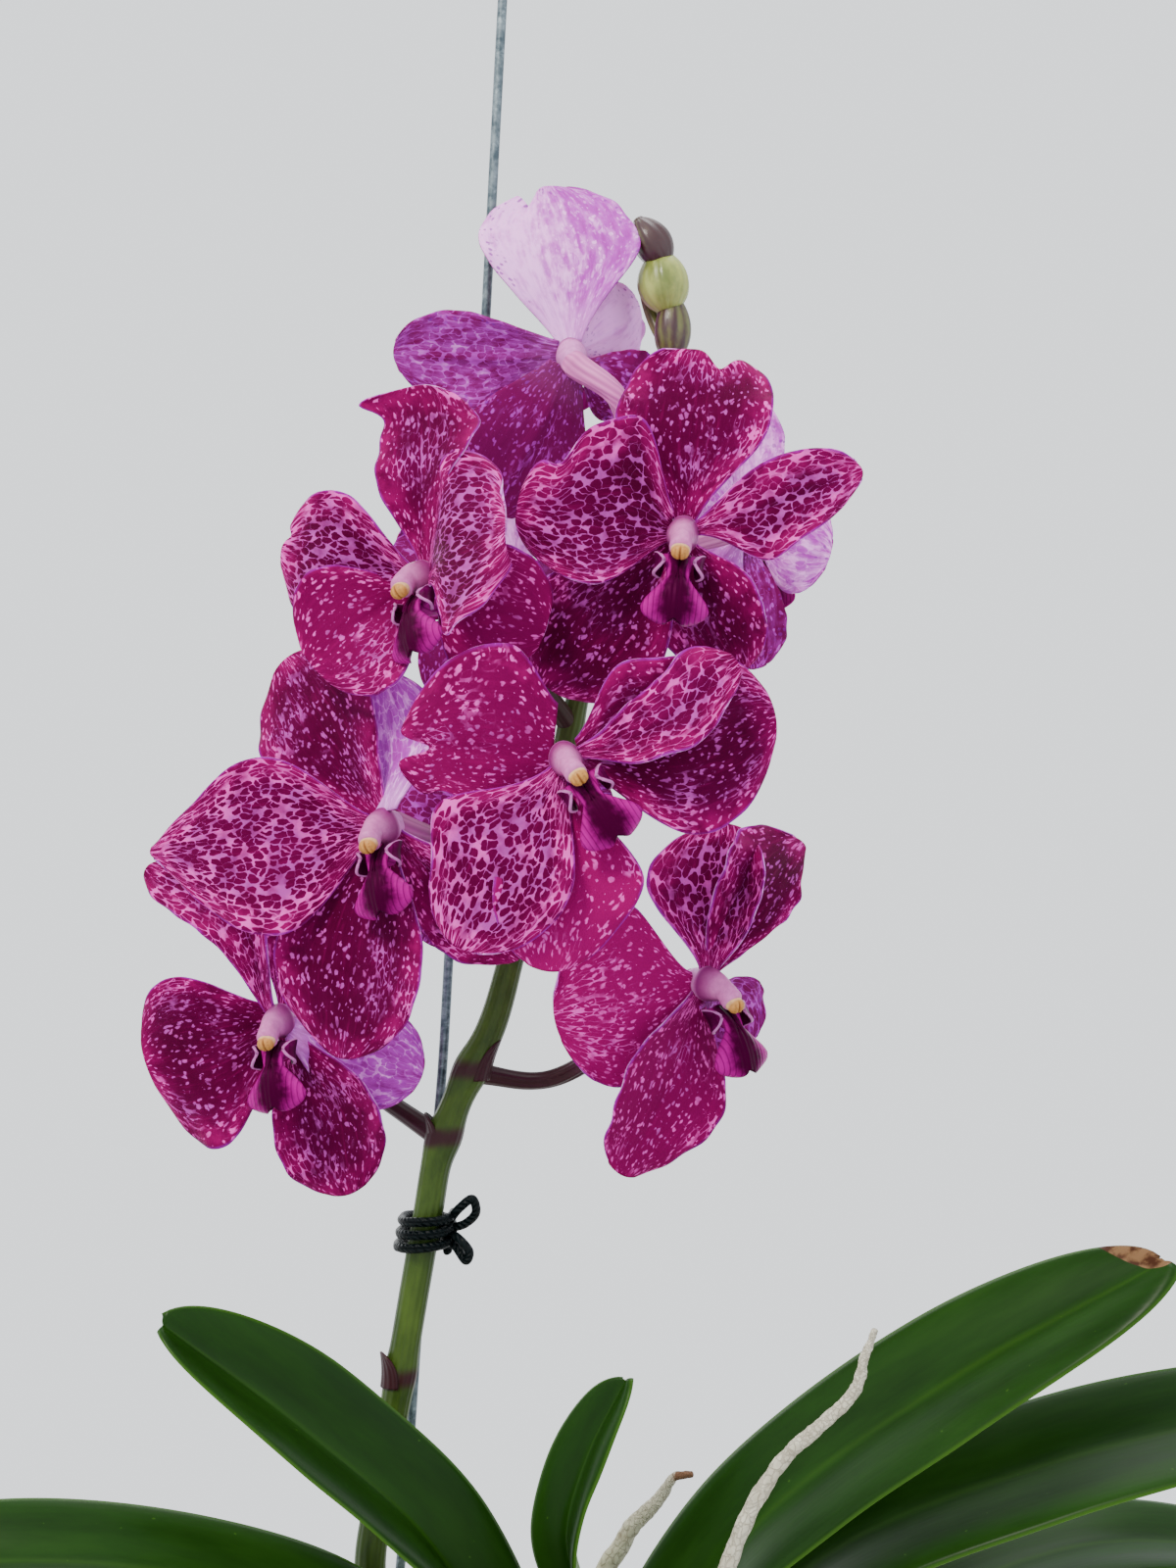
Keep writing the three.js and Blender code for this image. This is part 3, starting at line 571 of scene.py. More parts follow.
def patches_group() -> Tree:
    """Soft patches, as stains and uneven colour have: noise, steepened round its middle by Contrast."""
    bench = GroupBench("patches", "Scale", "Contrast")
    vector, scale, contrast = bench.given
    noise = bench.noise(vector, scale, 5, 0.6)
    spread = bench.sum("DIVIDE", 0.25, contrast)
    mask = bench.step(noise, bench.sum("SUBTRACT", 0.5, spread), bench.plus(0.5, spread))
    return bench.giving(Mask=mask, Height=noise)


def net_group() -> Tree:
    """A net of lines between cells: where a cell's edge is nearer than Width, made uneven by noise."""
    bench = GroupBench("net", "Scale", "Width", "Waver")
    vector, scale, width, waver = bench.given
    cells = bench.cells(bench.shaken(vector, waver), scale, 0.9, feature="DISTANCE_TO_EDGE")
    edge = cells.outputs["Distance"]
    noise = bench.noise(vector, bench.times(scale, 0.8), 2)
    line = bench.times(width, bench.step(noise, 0.3, 0.7, 0.35, 1.5))
    mask = bench.step(edge, bench.times(line, 0.55), line, 1.0, 0.0)
    return bench.giving(Mask=mask, Height=bench.step(edge, 0.0, width))


def cells_group() -> Tree:
    """Dark cells in a pale net: Mask has its lines, below Line, and stars, past Star; Dots, one spot each."""
    bench = GroupBench("cells", "Scale", "Line", "Star", "Waver")
    vector, scale, line, star, waver = bench.given
    shaken = bench.shaken(vector, waver)
    edge = bench.cells(shaken, scale, 0.85, feature="DISTANCE_TO_EDGE", voronoi_dimensions="2D")
    middle = bench.cells(shaken, scale, 0.85, feature="F1", voronoi_dimensions="2D").outputs["Distance"]
    noise = bench.noise(vector, bench.times(scale, 0.55), 3)
    line = bench.times(line, bench.step(noise, 0.38, 0.66, 0.1, 1.7))
    lines = bench.step(edge.outputs["Distance"], bench.times(line, 0.6), line, 1.0, 0.0)
    star = bench.plus(star, bench.step(noise, 0.35, 0.65, 0.09, -0.07))
    stars = bench.step(middle, star, bench.plus(star, 0.07))
    size = bench.step(noise, 0.38, 0.66, 0.06, 0.42)
    dots = bench.step(middle, bench.times(size, 0.55), size, 1.0, 0.0)
    return bench.giving(Mask=bench.sum("MAXIMUM", lines, stars), Dots=dots)


def spots_group() -> Tree:
    """Scattered spots: a round of up to Size in a Share of the cells, each of its own size and outline."""
    bench = GroupBench("spots", "Scale", "Size", "Share", "Waver")
    vector, scale, size, share, waver = bench.given
    cells = bench.cells(bench.shaken(vector, waver), scale, 0.85)
    chance = bench.add("SeparateColor", {0: cells.outputs["Color"]})
    there = bench.step(chance.outputs[0], bench.sum("SUBTRACT", share, 0.05), share, 1.0, 0.0)
    reach = bench.times(size, bench.step(chance.outputs[1], 0.0, 1.0, 0.45, 1.0))
    inside = bench.step(cells.outputs["Distance"], bench.times(reach, 0.6), reach, 1.0, 0.0)
    return bench.giving(Mask=bench.times(there, inside))


def veins_group() -> Tree:
    """Fine lines along the surface: a cosine across it, Spacing to a centimetre, shaken by Waver."""
    bench = GroupBench("veins", "Spacing", "Waver")
    vector, spacing, waver = bench.given
    stray = bench.sum("SUBTRACT", bench.noise(bench.scaled(vector, (1, 0.25, 1)), 3.0), 0.5)
    across = bench.add("SeparateXYZ", {0: vector}).outputs[0]
    turns = bench.times(bench.plus(across, bench.times(stray, waver)), spacing)
    wave = bench.sum("COSINE", bench.times(turns, 2 * math.pi))
    height = bench.sum("MULTIPLY_ADD", wave, 0.5, 0.5)
    return bench.giving(Mask=bench.step(height, 0.82, 0.98), Height=height)


@dataclass(frozen=True)
class Effects:
    """The shader node groups that the finishes share, each built once.

    Attributes:
        patches: Soft uneven patches.
        net: Lines between cells.
        cells: Rounded cells with pale lines and stars between them.
        spots: Scattered spots.
        veins: Fine lines along the surface.
    """

    patches: Tree = field(default_factory=patches_group)
    net: Tree = field(default_factory=net_group)
    cells: Tree = field(default_factory=cells_group)
    spots: Tree = field(default_factory=spots_group)
    veins: Tree = field(default_factory=veins_group)


class MaterialBench(Bench):
    """A bench on a new material with one Principled shader."""

    def __init__(self, name: str, **constants: Feed) -> None:
        """Makes the material.

        Args:
            name: The material's name.
            constants: Values for the shader's own sockets, named as the sockets are with _ for a space.
        """
        self.material = bpy.data.materials.new(name)
        self.material.use_nodes = True
        super().__init__(self.material.node_tree)
        self.shader = self.tree.nodes["Principled BSDF"]
        for label, constant in constants.items():
            self.feed(self.shader.inputs[label.replace("_", " ")], constant)

    def dulled(self, patches: Marks, low: float, high: float) -> Socket:
        """A roughness that goes from low to high over the patches."""
        return self.step(patches.height, 0.3, 0.7, low, high)

    def finished(
        self, colour: Socket, roughness: Feed, height: Feed, strength: float, depth: float
    ) -> Material:
        """Feeds the shader.

        Args:
            colour: Its Base Color.
            roughness: Its Roughness.
            height: The relief that turns its Normal.
            strength: How strongly the relief does so.
            depth: How deep the relief is, in metres.

        Returns:
            The material.
        """
        relief = {"Height": height, "Strength": strength, "Distance": depth}
        self.feed(self.shader.inputs["Base Color"], colour)
        self.feed(self.shader.inputs["Roughness"], roughness)
        self.feed(self.shader.inputs["Normal"], self.add("Bump", relief).outputs[0])
        return self.material


class Finish:
    """What every finish does: it builds a material of its own colours."""

    def material(self, effects: Effects) -> Material:
        """Builds the material. Each finish says which values of the vertices it reads.

        Args:
            effects: The shared groups.

        Returns:
            The material.
        """
        raise NotImplementedError


@dataclass(frozen=True)
class PetalFinish(Finish):
    """The petals and sepals: dark cells in a lilac net on petals, pale spots on sepals, mauve behind; some
    light and shade painted in.

    Attributes:
        ground: The dark crimson of the cells.
        glow: The magenta that the ground turns to in patches.
        bright: The pink that it turns to near the edges, and where light is painted on the tepal.
        pale: The lilac of the net.
        blush: The pink of the sepals' spots and of the net near the edges, in patches, and where light is
            painted on the tepal.
        rim: The violet line along the margin.
        milk: The white lilac of a pale back, which also stands in for painted light on backs that face the
            light.
        back: The lilac of a half flushed back.
        dusk: The mauve of a flushed back, which also stands in for painted shade on shaded backs.
        dots: The purple of the speckles on a pale back.
    """

    ground: str = "3c001e"
    glow: str = "580038"
    bright: str = "94005e"
    pale: str = "a8409c"
    blush: str = "ea50c0"
    rim: str = "8a1698"
    milk: str = "fcaefc"
    back: str = "b03cb8"
    dusk: str = "6a0c4c"
    dots: str = "7c1c94"

    def material(self, effects: Effects) -> Material:
        """Reads the surface places and the values petal, open, lit, front, u, margin and flush."""
        bench = MaterialBench(
            "petal", Specular_IOR_Level=0.05, Specular_Tint=self.blush, Subsurface_Weight=0.06,
            Subsurface_Scale=0.002, Subsurface_Radius=(1.0, 0.05, 0.4),
        )
        surface, petal, front = bench.surface(), bench.value("petal"), bench.value("front")
        margin, flush, lit = bench.value("margin"), bench.value("flush"), bench.value("lit")
        broad = bench.use(effects.patches, surface, scale=0.55, contrast=0.8).mask
        small = bench.use(effects.patches, surface, scale=1.7, contrast=0.9).mask
        streaks = bench.noise(bench.scaled(surface, (1, 0.12, 1)), 9.0, 3)

        opened = bench.times(bench.value("open"), bench.step(broad, 0.1, 0.8, 0.4, 1.0))
        round_cells = bench.use(
            effects.cells, bench.scaled(surface, (1, 0.62, 1)), scale=6.4, waver=0.18,
            line=bench.between(opened, 0.03, 0.14), star=bench.between(opened, 0.54, 0.42),
        ).mask
        long_cells = bench.use(
            effects.cells, bench.scaled(surface, (1, 0.34, 1)), scale=8.8, waver=0.15,
            line=bench.between(opened, 0.03, 0.13), star=bench.between(opened, 0.56, 0.45),
        ).mask
        outer = bench.step(bench.sum("MULTIPLY_ADD", small, 0.2, margin), 0.34, 0.56, 1.0, 0.0)
        net = bench.between(outer, round_cells, long_cells)
        spots = bench.use(
            effects.cells, bench.scaled(surface, (1, 0.6, 1)), scale=7.2, line=0.0, star=1.0, waver=0.22
        ).dots
        streaked = bench.times(long_cells, bench.step(broad, 0.5, 0.8))
        marks = bench.between(petal, bench.sum("MAXIMUM", spots, streaked), net)

        shallow = bench.step(margin, 0.1, 0.8, 0.85, 0.0)
        # Painted light: each tepal's given amount turns its ground towards bright, less on petals; near the
        # edges, in patches, the ground turns bright as its own colour.
        painted_light_share = bench.times(lit, bench.step(petal, 0.0, 1.0, 1.0, 0.3))
        bright = bench.sum("MAXIMUM", painted_light_share, bench.times(shallow, small))
        ground = bench.blend(broad, self.ground, self.glow)
        ground = bench.blend(bright, ground, self.bright)
        ground = bench.blend(bench.step(streaks, 0.5, 0.8, 0.0, 0.25), ground, self.bright)
        # The net turns pink near the edges and in patches, as its own colour, and where light is painted on
        # the tepal.
        pinkness_and_painted_light = bench.plus(bench.plus(shallow, small), lit)
        light = bench.blend(bench.step(pinkness_and_painted_light, 0.5, 1.4), self.pale, self.blush)
        faint = bench.step(bench.noise(surface, 2.2, 2), 0.3, 0.6, 0.4, 0.95)
        face = bench.blend(bench.times(marks, faint), ground, light)
        rim = bench.times(bench.step(margin, 0.015, 0.06, 1.0, 0.0), bench.step(small, 0.3, 0.7, 0.2, 0.75))
        face = bench.blend(rim, face, self.rim)

        # Backs: the flush value is partly real colour and partly painted shade, so shaded backs turn mauve
        # and backs in the light stay white lilac.
        cloudy = bench.step(bench.noise(bench.scaled(surface, (1, 0.5, 1)), 4.0, 4), 0.3, 0.7, -0.14, 0.14)
        flushed = bench.plus(flush, bench.plus(cloudy, bench.step(streaks, 0.35, 0.65, -0.06, 0.06)))
        flushed = bench.sum("SUBTRACT", flushed, bench.times(marks, bench.times(flush, 0.4)))
        behind = bench.blend(bench.step(flushed, 0.0, 0.5), self.milk, self.back)
        behind = bench.blend(bench.step(flushed, 0.4, 0.95), behind, self.dusk)
        speckles = bench.use(effects.spots, surface, scale=8.0, size=0.5, share=0.6, waver=0.08).mask
        near_edge = bench.step(bench.sum("MULTIPLY_ADD", broad, -0.5, margin), -0.2, 0.25, 0.75, 0.0)
        behind = bench.blend(bench.times(speckles, near_edge), behind, self.dots)
        near_foot = bench.step(bench.value("u"), 0.06, 0.3, 0.5, 0.0)
        whitened = bench.times(near_foot, bench.step(flush, 0.3, 0.8, 1.0, 0.1))
        behind = bench.blend(whitened, behind, self.milk)

        grain = bench.noise(surface, 60.0, 2)
        height = bench.sum("MULTIPLY_ADD", streaks, 0.8, bench.times(grain, 0.4))
        colour = bench.blend(front, behind, face)
        return bench.finished(colour, bench.step(grain, 0.2, 0.8, 0.42, 0.6), height, 0.5, 0.0005)


@dataclass(frozen=True)
class LipFinish(Finish):
    """The lip: glossy deep magenta with bright fuchsia flanks, and lilac white rims on its side lobes."""

    deep: str = "340022"
    bright: str = "a0007e"
    pale: str = "b468a8"

    def material(self, effects: Effects) -> Material:
        """Reads the surface places and the values pale and flank."""
        bench = MaterialBench(
            "lip", Specular_IOR_Level=0.12, Specular_Tint=self.bright, Subsurface_Weight=0.04,
            Subsurface_Scale=0.002, Subsurface_Radius=(1.0, 0.1, 0.5),
        )
        surface = bench.surface()
        veins = bench.use(effects.veins, surface, spacing=9.0, waver=0.12)
        patches = bench.use(effects.patches, surface, scale=3.4, contrast=1.0)
        flank = bench.step(bench.plus(bench.value("flank"), bench.around(patches.height, 0.7)), 0.1, 0.75)
        colour = bench.blend(flank, self.deep, self.bright)
        colour = bench.blend(bench.times(veins.mask, 0.5), colour, self.deep)
        colour = bench.blend(bench.step(bench.value("pale"), 0.25, 0.85), colour, self.pale)
        return bench.finished(colour, bench.dulled(patches, 0.26, 0.42), veins.height, 0.4, 0.0002)


@dataclass(frozen=True)
class ColumnFinish(Finish):
    """The column: waxy mauve pink, deeper at its foot, with an ochre cap in a cream ring on its anther, and
    painted shade in the cap's furrow.

    Attributes:
        wax: The pink of the column.
        behind: The paler pink of its back.
        foot: The magenta at its foot.
        cream: The ring round the cap.
        cap: The ochre of the anther cap.
        cap_shadow: The brown of the painted shade in the cap's furrow and beside its ring, also laid in
            uneven patches.
    """

    wax: str = "cf74b4"
    behind: str = "dc88cc"
    foot: str = "7c1864"
    cream: str = "ecc08c"
    cap: str = "c48c48"
    cap_shadow: str = "6c3410"

    def material(self, effects: Effects) -> Material:
        """Reads Object coordinates and the values u, cap, ring and furrow."""
        bench = MaterialBench(
            "column", Specular_IOR_Level=0.2, Subsurface_Weight=0.15, Subsurface_Scale=0.002,
            Subsurface_Radius=(1.0, 0.3, 0.6),
        )
        along = bench.value("u")
        patches = bench.use(effects.patches, bench.place(), scale=900.0, contrast=1.0)
        wax = bench.blend(bench.step(along, 0.25, 0.7, 1.0, 0.0), self.wax, self.foot)
        wax = bench.blend(bench.step(along, 0.2, 0.3, 1.0, 0.0), wax, self.behind)
        wax = bench.blend(bench.times(patches.mask, 0.3), wax, self.foot)
        # Painted shade: the cap turns brown where it is pushed in along its furrow and ring, and in uneven
        # patches.
        shaded = bench.sum("MAXIMUM", bench.value("furrow"), bench.times(patches.mask, 0.4))
        cap = bench.blend(bench.value("ring"), self.cap, self.cream)
        cap = bench.blend(shaded, cap, self.cap_shadow)
        colour = bench.blend(bench.step(bench.value("cap"), 0.4, 0.6), wax, cap)
        return bench.finished(colour, bench.dulled(patches, 0.34, 0.5), patches.height, 0.3, 0.0001)


@dataclass(frozen=True)
class LeafFinish(Finish):
    """The leaves: deep green over fine lengthwise veins, paler below and at the foot, brown where torn.

    Attributes:
        green: The green of the upper face.
        light: The green that it turns to in patches.
        under: The green of the lower face.
        foot: The yellow-green of the foot.
        torn: The brown of a dried tip.
        dried: The tan of its patches.
    """

    green: str = "0b2404"
    light: str = "1a3c08"
    under: str = "41681a"
    foot: str = "78882c"
    torn: str = "3a2012"
    dried: str = "6e5238"

    def material(self, effects: Effects) -> Material:
        """Reads the surface places and the values u, rib, edge, front and torn."""
        bench = MaterialBench(
            "leaf", Specular_IOR_Level=0.1, Subsurface_Weight=0.03, Subsurface_Scale=0.002,
            Subsurface_Radius=(0.3, 1.0, 0.2),
        )
        surface, front, torn = bench.surface(), bench.value("front"), bench.value("torn")
        veins = bench.use(effects.veins, surface, spacing=8.0, waver=0.05)
        patches = bench.use(effects.patches, bench.scaled(surface, (1, 0.2, 1)), scale=0.9, contrast=0.8)
        specks = bench.use(effects.spots, surface, scale=3.5, size=0.12, share=0.22, waver=0.1)
        top = bench.blend(patches.mask, self.green, self.light)
        top = bench.blend(bench.times(veins.mask, 0.03), top, self.light)
        top = bench.blend(bench.times(bench.value("rib"), 0.14), top, self.under)
        top = bench.blend(bench.times(specks.mask, 0.35), top, self.under)
        low = bench.blend(bench.times(veins.mask, 0.2), self.under, self.light)
        body = bench.blend(front, low, top)
        body = bench.blend(bench.step(bench.value("edge"), 0.0, 0.1, 0.5, 0.0), body, self.under)
        foot = bench.step(bench.value("u"), 0.0, bench.between(front, 0.5, 0.18), 0.85, 0.0)
        body = bench.blend(foot, body, self.foot)
        stain = bench.plus(torn, bench.around(patches.height, 0.5))
        dry = bench.blend(bench.step(bench.noise(surface, 3.0, 4), 0.4, 0.6), self.torn, self.dried)
        body = bench.blend(bench.step(stain, 0.35, 0.42), body, dry)
        satin = bench.step(patches.height, 0.35, 0.75, 0.3, 0.42)
        dull = bench.sum("MAXIMUM", satin, bench.times(torn, 0.9))
        height = bench.sum("MULTIPLY_ADD", patches.height, 0.6, bench.times(veins.height, 0.012))
        return bench.finished(body, dull, height, 0.35, 0.0006)


@dataclass(frozen=True)
class StemFinish(Finish):
    """Stems and stalks: green, which the value tint turns maroon and the value blush turns pale pink.

    Attributes:
        green: The green of the stem.
        light: Its yellower green in patches.
        maroon: The brown purple of stalks and scars.
        blush: The pale pink of the topmost bloom's stalk.
        flushed: The deeper pink of that stalk's furrows.
    """

    green: str = "1e300c"
    light: str = "40561a"
    maroon: str = "2e0f16"
    blush: str = "d878b8"
    flushed: str = "8c2c78"

    def material(self, effects: Effects) -> Material:
        """Reads the surface places and the values tint and blush."""
        bench = MaterialBench(
            "stem", Specular_IOR_Level=0.18, Subsurface_Weight=0.05, Subsurface_Scale=0.002,
            Subsurface_Radius=(0.5, 1.0, 0.2),
        )
        surface = bench.surface()
        patches = bench.use(effects.patches, bench.scaled(surface, (1, 0.3, 1)), scale=1.6, contrast=0.9)
        veins = bench.use(effects.veins, surface, spacing=7.0, waver=0.05)
        specks = bench.use(effects.spots, surface, scale=9.0, size=0.3, share=0.25, waver=0.1)
        green = bench.blend(patches.mask, self.green, self.light)
        green = bench.blend(bench.times(specks.mask, 0.35), green, self.light)
        tint = bench.step(bench.plus(bench.value("tint"), bench.around(patches.height, 0.5)), 0.3, 0.75)
        body = bench.blend(tint, green, self.maroon)
        pink = bench.blend(bench.times(veins.height, 0.4), self.blush, self.flushed)
        body = bench.blend(bench.value("blush"), body, pink)
        return bench.finished(body, bench.dulled(patches, 0.36, 0.5), veins.height, 0.4, 0.0003)


@dataclass(frozen=True)
class BudFinish(Finish):
    """The buds: yellow-green, lighter in patches, with brown maroon streaks and seams by the value tint."""

    green: str = "5c6a28"
    light: str = "a4ac58"
    maroon: str = "34141a"

    def material(self, effects: Effects) -> Material:
        """Reads the surface places and the value tint."""
        bench = MaterialBench("bud", Coat_Weight=0.1, Subsurface_Weight=0.08, Subsurface_Scale=0.002)
        surface = bench.surface()
        patches = bench.use(effects.patches, bench.scaled(surface, (1, 0.4, 1)), scale=2.4, contrast=1.1)
        veins = bench.use(effects.veins, surface, spacing=6.0, waver=0.15)
        green = bench.blend(patches.mask, self.green, self.light)
        streaks = bench.times(veins.height, 0.14)
        uneven = bench.sum("MULTIPLY_ADD", bench.sum("SUBTRACT", patches.height, 0.5), 1.3, streaks)
        tint = bench.step(bench.plus(bench.value("tint"), uneven), 0.35, 0.95)
        colour = bench.blend(tint, green, self.maroon)
        return bench.finished(colour, bench.dulled(patches, 0.32, 0.48), veins.height, 0.35, 0.0003)


@dataclass(frozen=True)
class RootFinish(Finish):
    """The roots: chalky velamen, with grey-brown in its cracks, brown where dead and green where live."""

    chalk: str = "ccc8b6"
    shade: str = "7e7462"
    bark_brown: str = "6a4a33"
    green: str = "7c8a4e"

    def material(self, effects: Effects) -> Material:
        """Reads the surface places and the values dead and live."""
        bench = MaterialBench("root")
        surface = bench.surface()
        patches = bench.use(effects.patches, surface, scale=1.8, contrast=1.2)
        cracks = bench.use(effects.net, bench.scaled(surface, (1, 0.6, 1)), scale=7.0, width=0.12, waver=0.2)
        body = bench.blend(bench.times(patches.mask, 0.5), self.chalk, self.shade)
        body = bench.blend(bench.value("live"), body, self.green)
        body = bench.blend(bench.times(cracks.mask, 0.35), body, self.shade)
        dead = bench.step(bench.plus(bench.value("dead"), bench.around(patches.height, 0.8)), 0.4, 0.6)
        body = bench.blend(dead, body, self.bark_brown)
        height = bench.plus(cracks.height, patches.height)
        return bench.finished(body, bench.dulled(patches, 0.78, 0.95), height, 0.6, 0.0004)


@dataclass(frozen=True)
class BarkFinish(Finish):
    """The bark chips: flaky, dark to light by each chip's value shade, and dusty grey-tan where rubbed."""

    dark: str = "2c1a10"
    light: str = "7a4c2c"
    dust: str = "8f7356"

    def material(self, effects: Effects) -> Material:
        """Reads Object coordinates and the value shade."""
        bench = MaterialBench("bark")
        place = bench.place()
        patches = bench.use(effects.patches, place, scale=160.0, contrast=1.3)
        flakes = bench.use(effects.net, bench.scaled(place, (1, 1, 3)), scale=190.0, width=0.16, waver=0.003)
        body = bench.blend(bench.value("shade"), self.dark, self.light)
        body = bench.blend(bench.times(patches.mask, 0.45), body, self.dust)
        body = bench.blend(bench.times(flakes.mask, 0.7), body, self.dark)
        height = bench.plus(flakes.height, patches.height)
        return bench.finished(body, bench.dulled(patches, 0.82, 0.98), height, 0.8, 0.001)


@dataclass(frozen=True)
class ClayFinish(Finish):
    """The pot: fired clay with darker and paler patches, fine grit, and lime low down and under the rim."""

    clay: str = "a4522e"
    fired: str = "85401f"
    lime: str = "cdb5a0"

    def material(self, effects: Effects) -> Material:
        """Reads Object coordinates and the value damp."""
        bench = MaterialBench("clay")
        place = bench.place()
        patches = bench.use(effects.patches, place, scale=28.0, contrast=1.0)
        crust = bench.use(effects.patches, place, scale=45.0, contrast=1.4)
        grit = bench.use(effects.spots, place, scale=420.0, size=0.35, share=0.3, waver=0.0004)
        body = bench.blend(patches.mask, self.clay, self.fired)
        body = bench.blend(bench.times(grit.mask, 0.35), body, self.lime)
        limed = bench.times(bench.times(crust.mask, bench.value("damp")), 0.6)
        body = bench.blend(limed, body, self.lime)
        height = bench.sum("MULTIPLY_ADD", grit.mask, 0.4, bench.noise(place, 900.0, 4, 0.7))
        return bench.finished(body, bench.dulled(patches, 0.78, 0.92), height, 0.5, 0.0004)


@dataclass(frozen=True)
class WireFinish(Finish):
    """The wire: galvanised steel, mottled with bright zinc and dull blue-grey spangle."""

    zinc: str = "8d9ba2"
    dull: str = "3e4d55"

    def material(self, effects: Effects) -> Material:
        """Reads the surface places."""
        bench = MaterialBench("wire", Metallic=0.5)
        surface = bench.surface()
        patches = bench.use(effects.patches, surface, scale=3.2, contrast=1.6)
        spangle = bench.use(effects.net, surface, scale=6.0, width=0.3, waver=0.1)
        body = bench.blend(patches.mask, self.dull, self.zinc)
        body = bench.blend(bench.times(spangle.mask, 0.4), body, self.dull)
        return bench.finished(body, bench.dulled(patches, 0.35, 0.6), patches.height, 0.3, 0.0002)


@dataclass(frozen=True)
class TieFinish(Finish):
    """The tie: a soft green-black plastic string, worn to grey-green on the ridges of its twist."""

    black: str = "02080a"
    worn: str = "0a1618"

    def material(self, effects: Effects) -> Material:
        """Reads the surface places, turned for the twist."""
        bench = MaterialBench("tie", Specular_IOR_Level=0.1)
        surface = bench.surface()
        twist = bench.add("Mapping", {"Vector": surface, "Rotation": (0, 0, 0.9)}).outputs[0]
        strands = bench.use(effects.veins, twist, spacing=9.0, waver=0.03)
        patches = bench.use(effects.patches, surface, scale=3.0, contrast=1.0)
        worn = bench.times(bench.times(strands.height, patches.mask), 0.8)
        colour = bench.blend(worn, self.black, self.worn)
        return bench.finished(colour, bench.dulled(patches, 0.34, 0.52), strands.height, 0.7, 0.0003)


def dressed(thing: Thing, material: Material) -> Thing:
    """Gives a piece its one material and returns the piece."""
    thing.data.materials.clear()
    thing.data.materials.append(material)
    return thing


def revolved(profile: Array, sides: int, wobble: float = 0.0) -> Skin:
    """A closed solid turned round the Z axis: (r·cos a, r·sin a, z) for each profile place and angle.

    Args:
        profile: Radius and height pairs in millimetres, which start and end on the axis.
        sides: Vertices round the axis.
        wobble: How far the radius strays, in millimetres.

    Returns:
        The solid, its profile running upwards on the outside.
    """
    angle = 2 * math.pi * np.arange(sides) / sides
    radius, height = profile[1:-1, 0][:, None], profile[1:-1, 1][:, None]
    turned = np.stack(np.broadcast_arrays(radius * np.cos(angle), radius * np.sin(angle), height), axis=-1)
    stray = 1 + wobble * mottle(turned, 60, 3)[..., None] / np.maximum(radius, 1)[..., None]
    turned = turned * np.concatenate([stray, stray, np.ones_like(stray)], axis=-1)
    ends = np.array([[0, 0, profile[0, 1]], [0, 0, profile[-1, 1]]])
    vertices = np.concatenate([turned.reshape(-1, 3), ends])
    return Skin(vertices, capped_faces(len(profile) - 2, sides), vertices[:, :2] / 10)


def arc(centre: tuple[float, float], radius: float, start: float, end: float, steps: int = 6) -> Array:
    """Profile places on an arc: centre + radius·(cos, sin) of angles from start to end, in degrees."""
    angle = np.radians(np.linspace(start, end, steps + 1))
    return np.stack([centre[0] + radius * np.cos(angle), centre[1] + radius * np.sin(angle)], axis=-1)


def resampled(profile: Array, step: float) -> Array:
    """A profile with places added so that no two neighbours are further apart than a step.

    Args:
        profile: Radius and height pairs in millimetres.
        step: The greatest distance between two neighbours.

    Returns:
        The pairs, with the first ones among them.
    """
    spans = np.linalg.norm(np.diff(profile, axis=0), axis=1)
    distance = np.concatenate([[0], np.cumsum(spans)])
    counts = np.maximum(np.ceil(np.diff(distance) / step), 1).astype(int)
    between = [np.linspace(a, b, n, endpoint=False) for a, b, n in zip(distance, distance[1:], counts)]
    places = np.concatenate([*between, distance[-1:]])
    return np.stack([np.interp(places, distance, profile[:, k]) for k in (0, 1)], axis=-1)


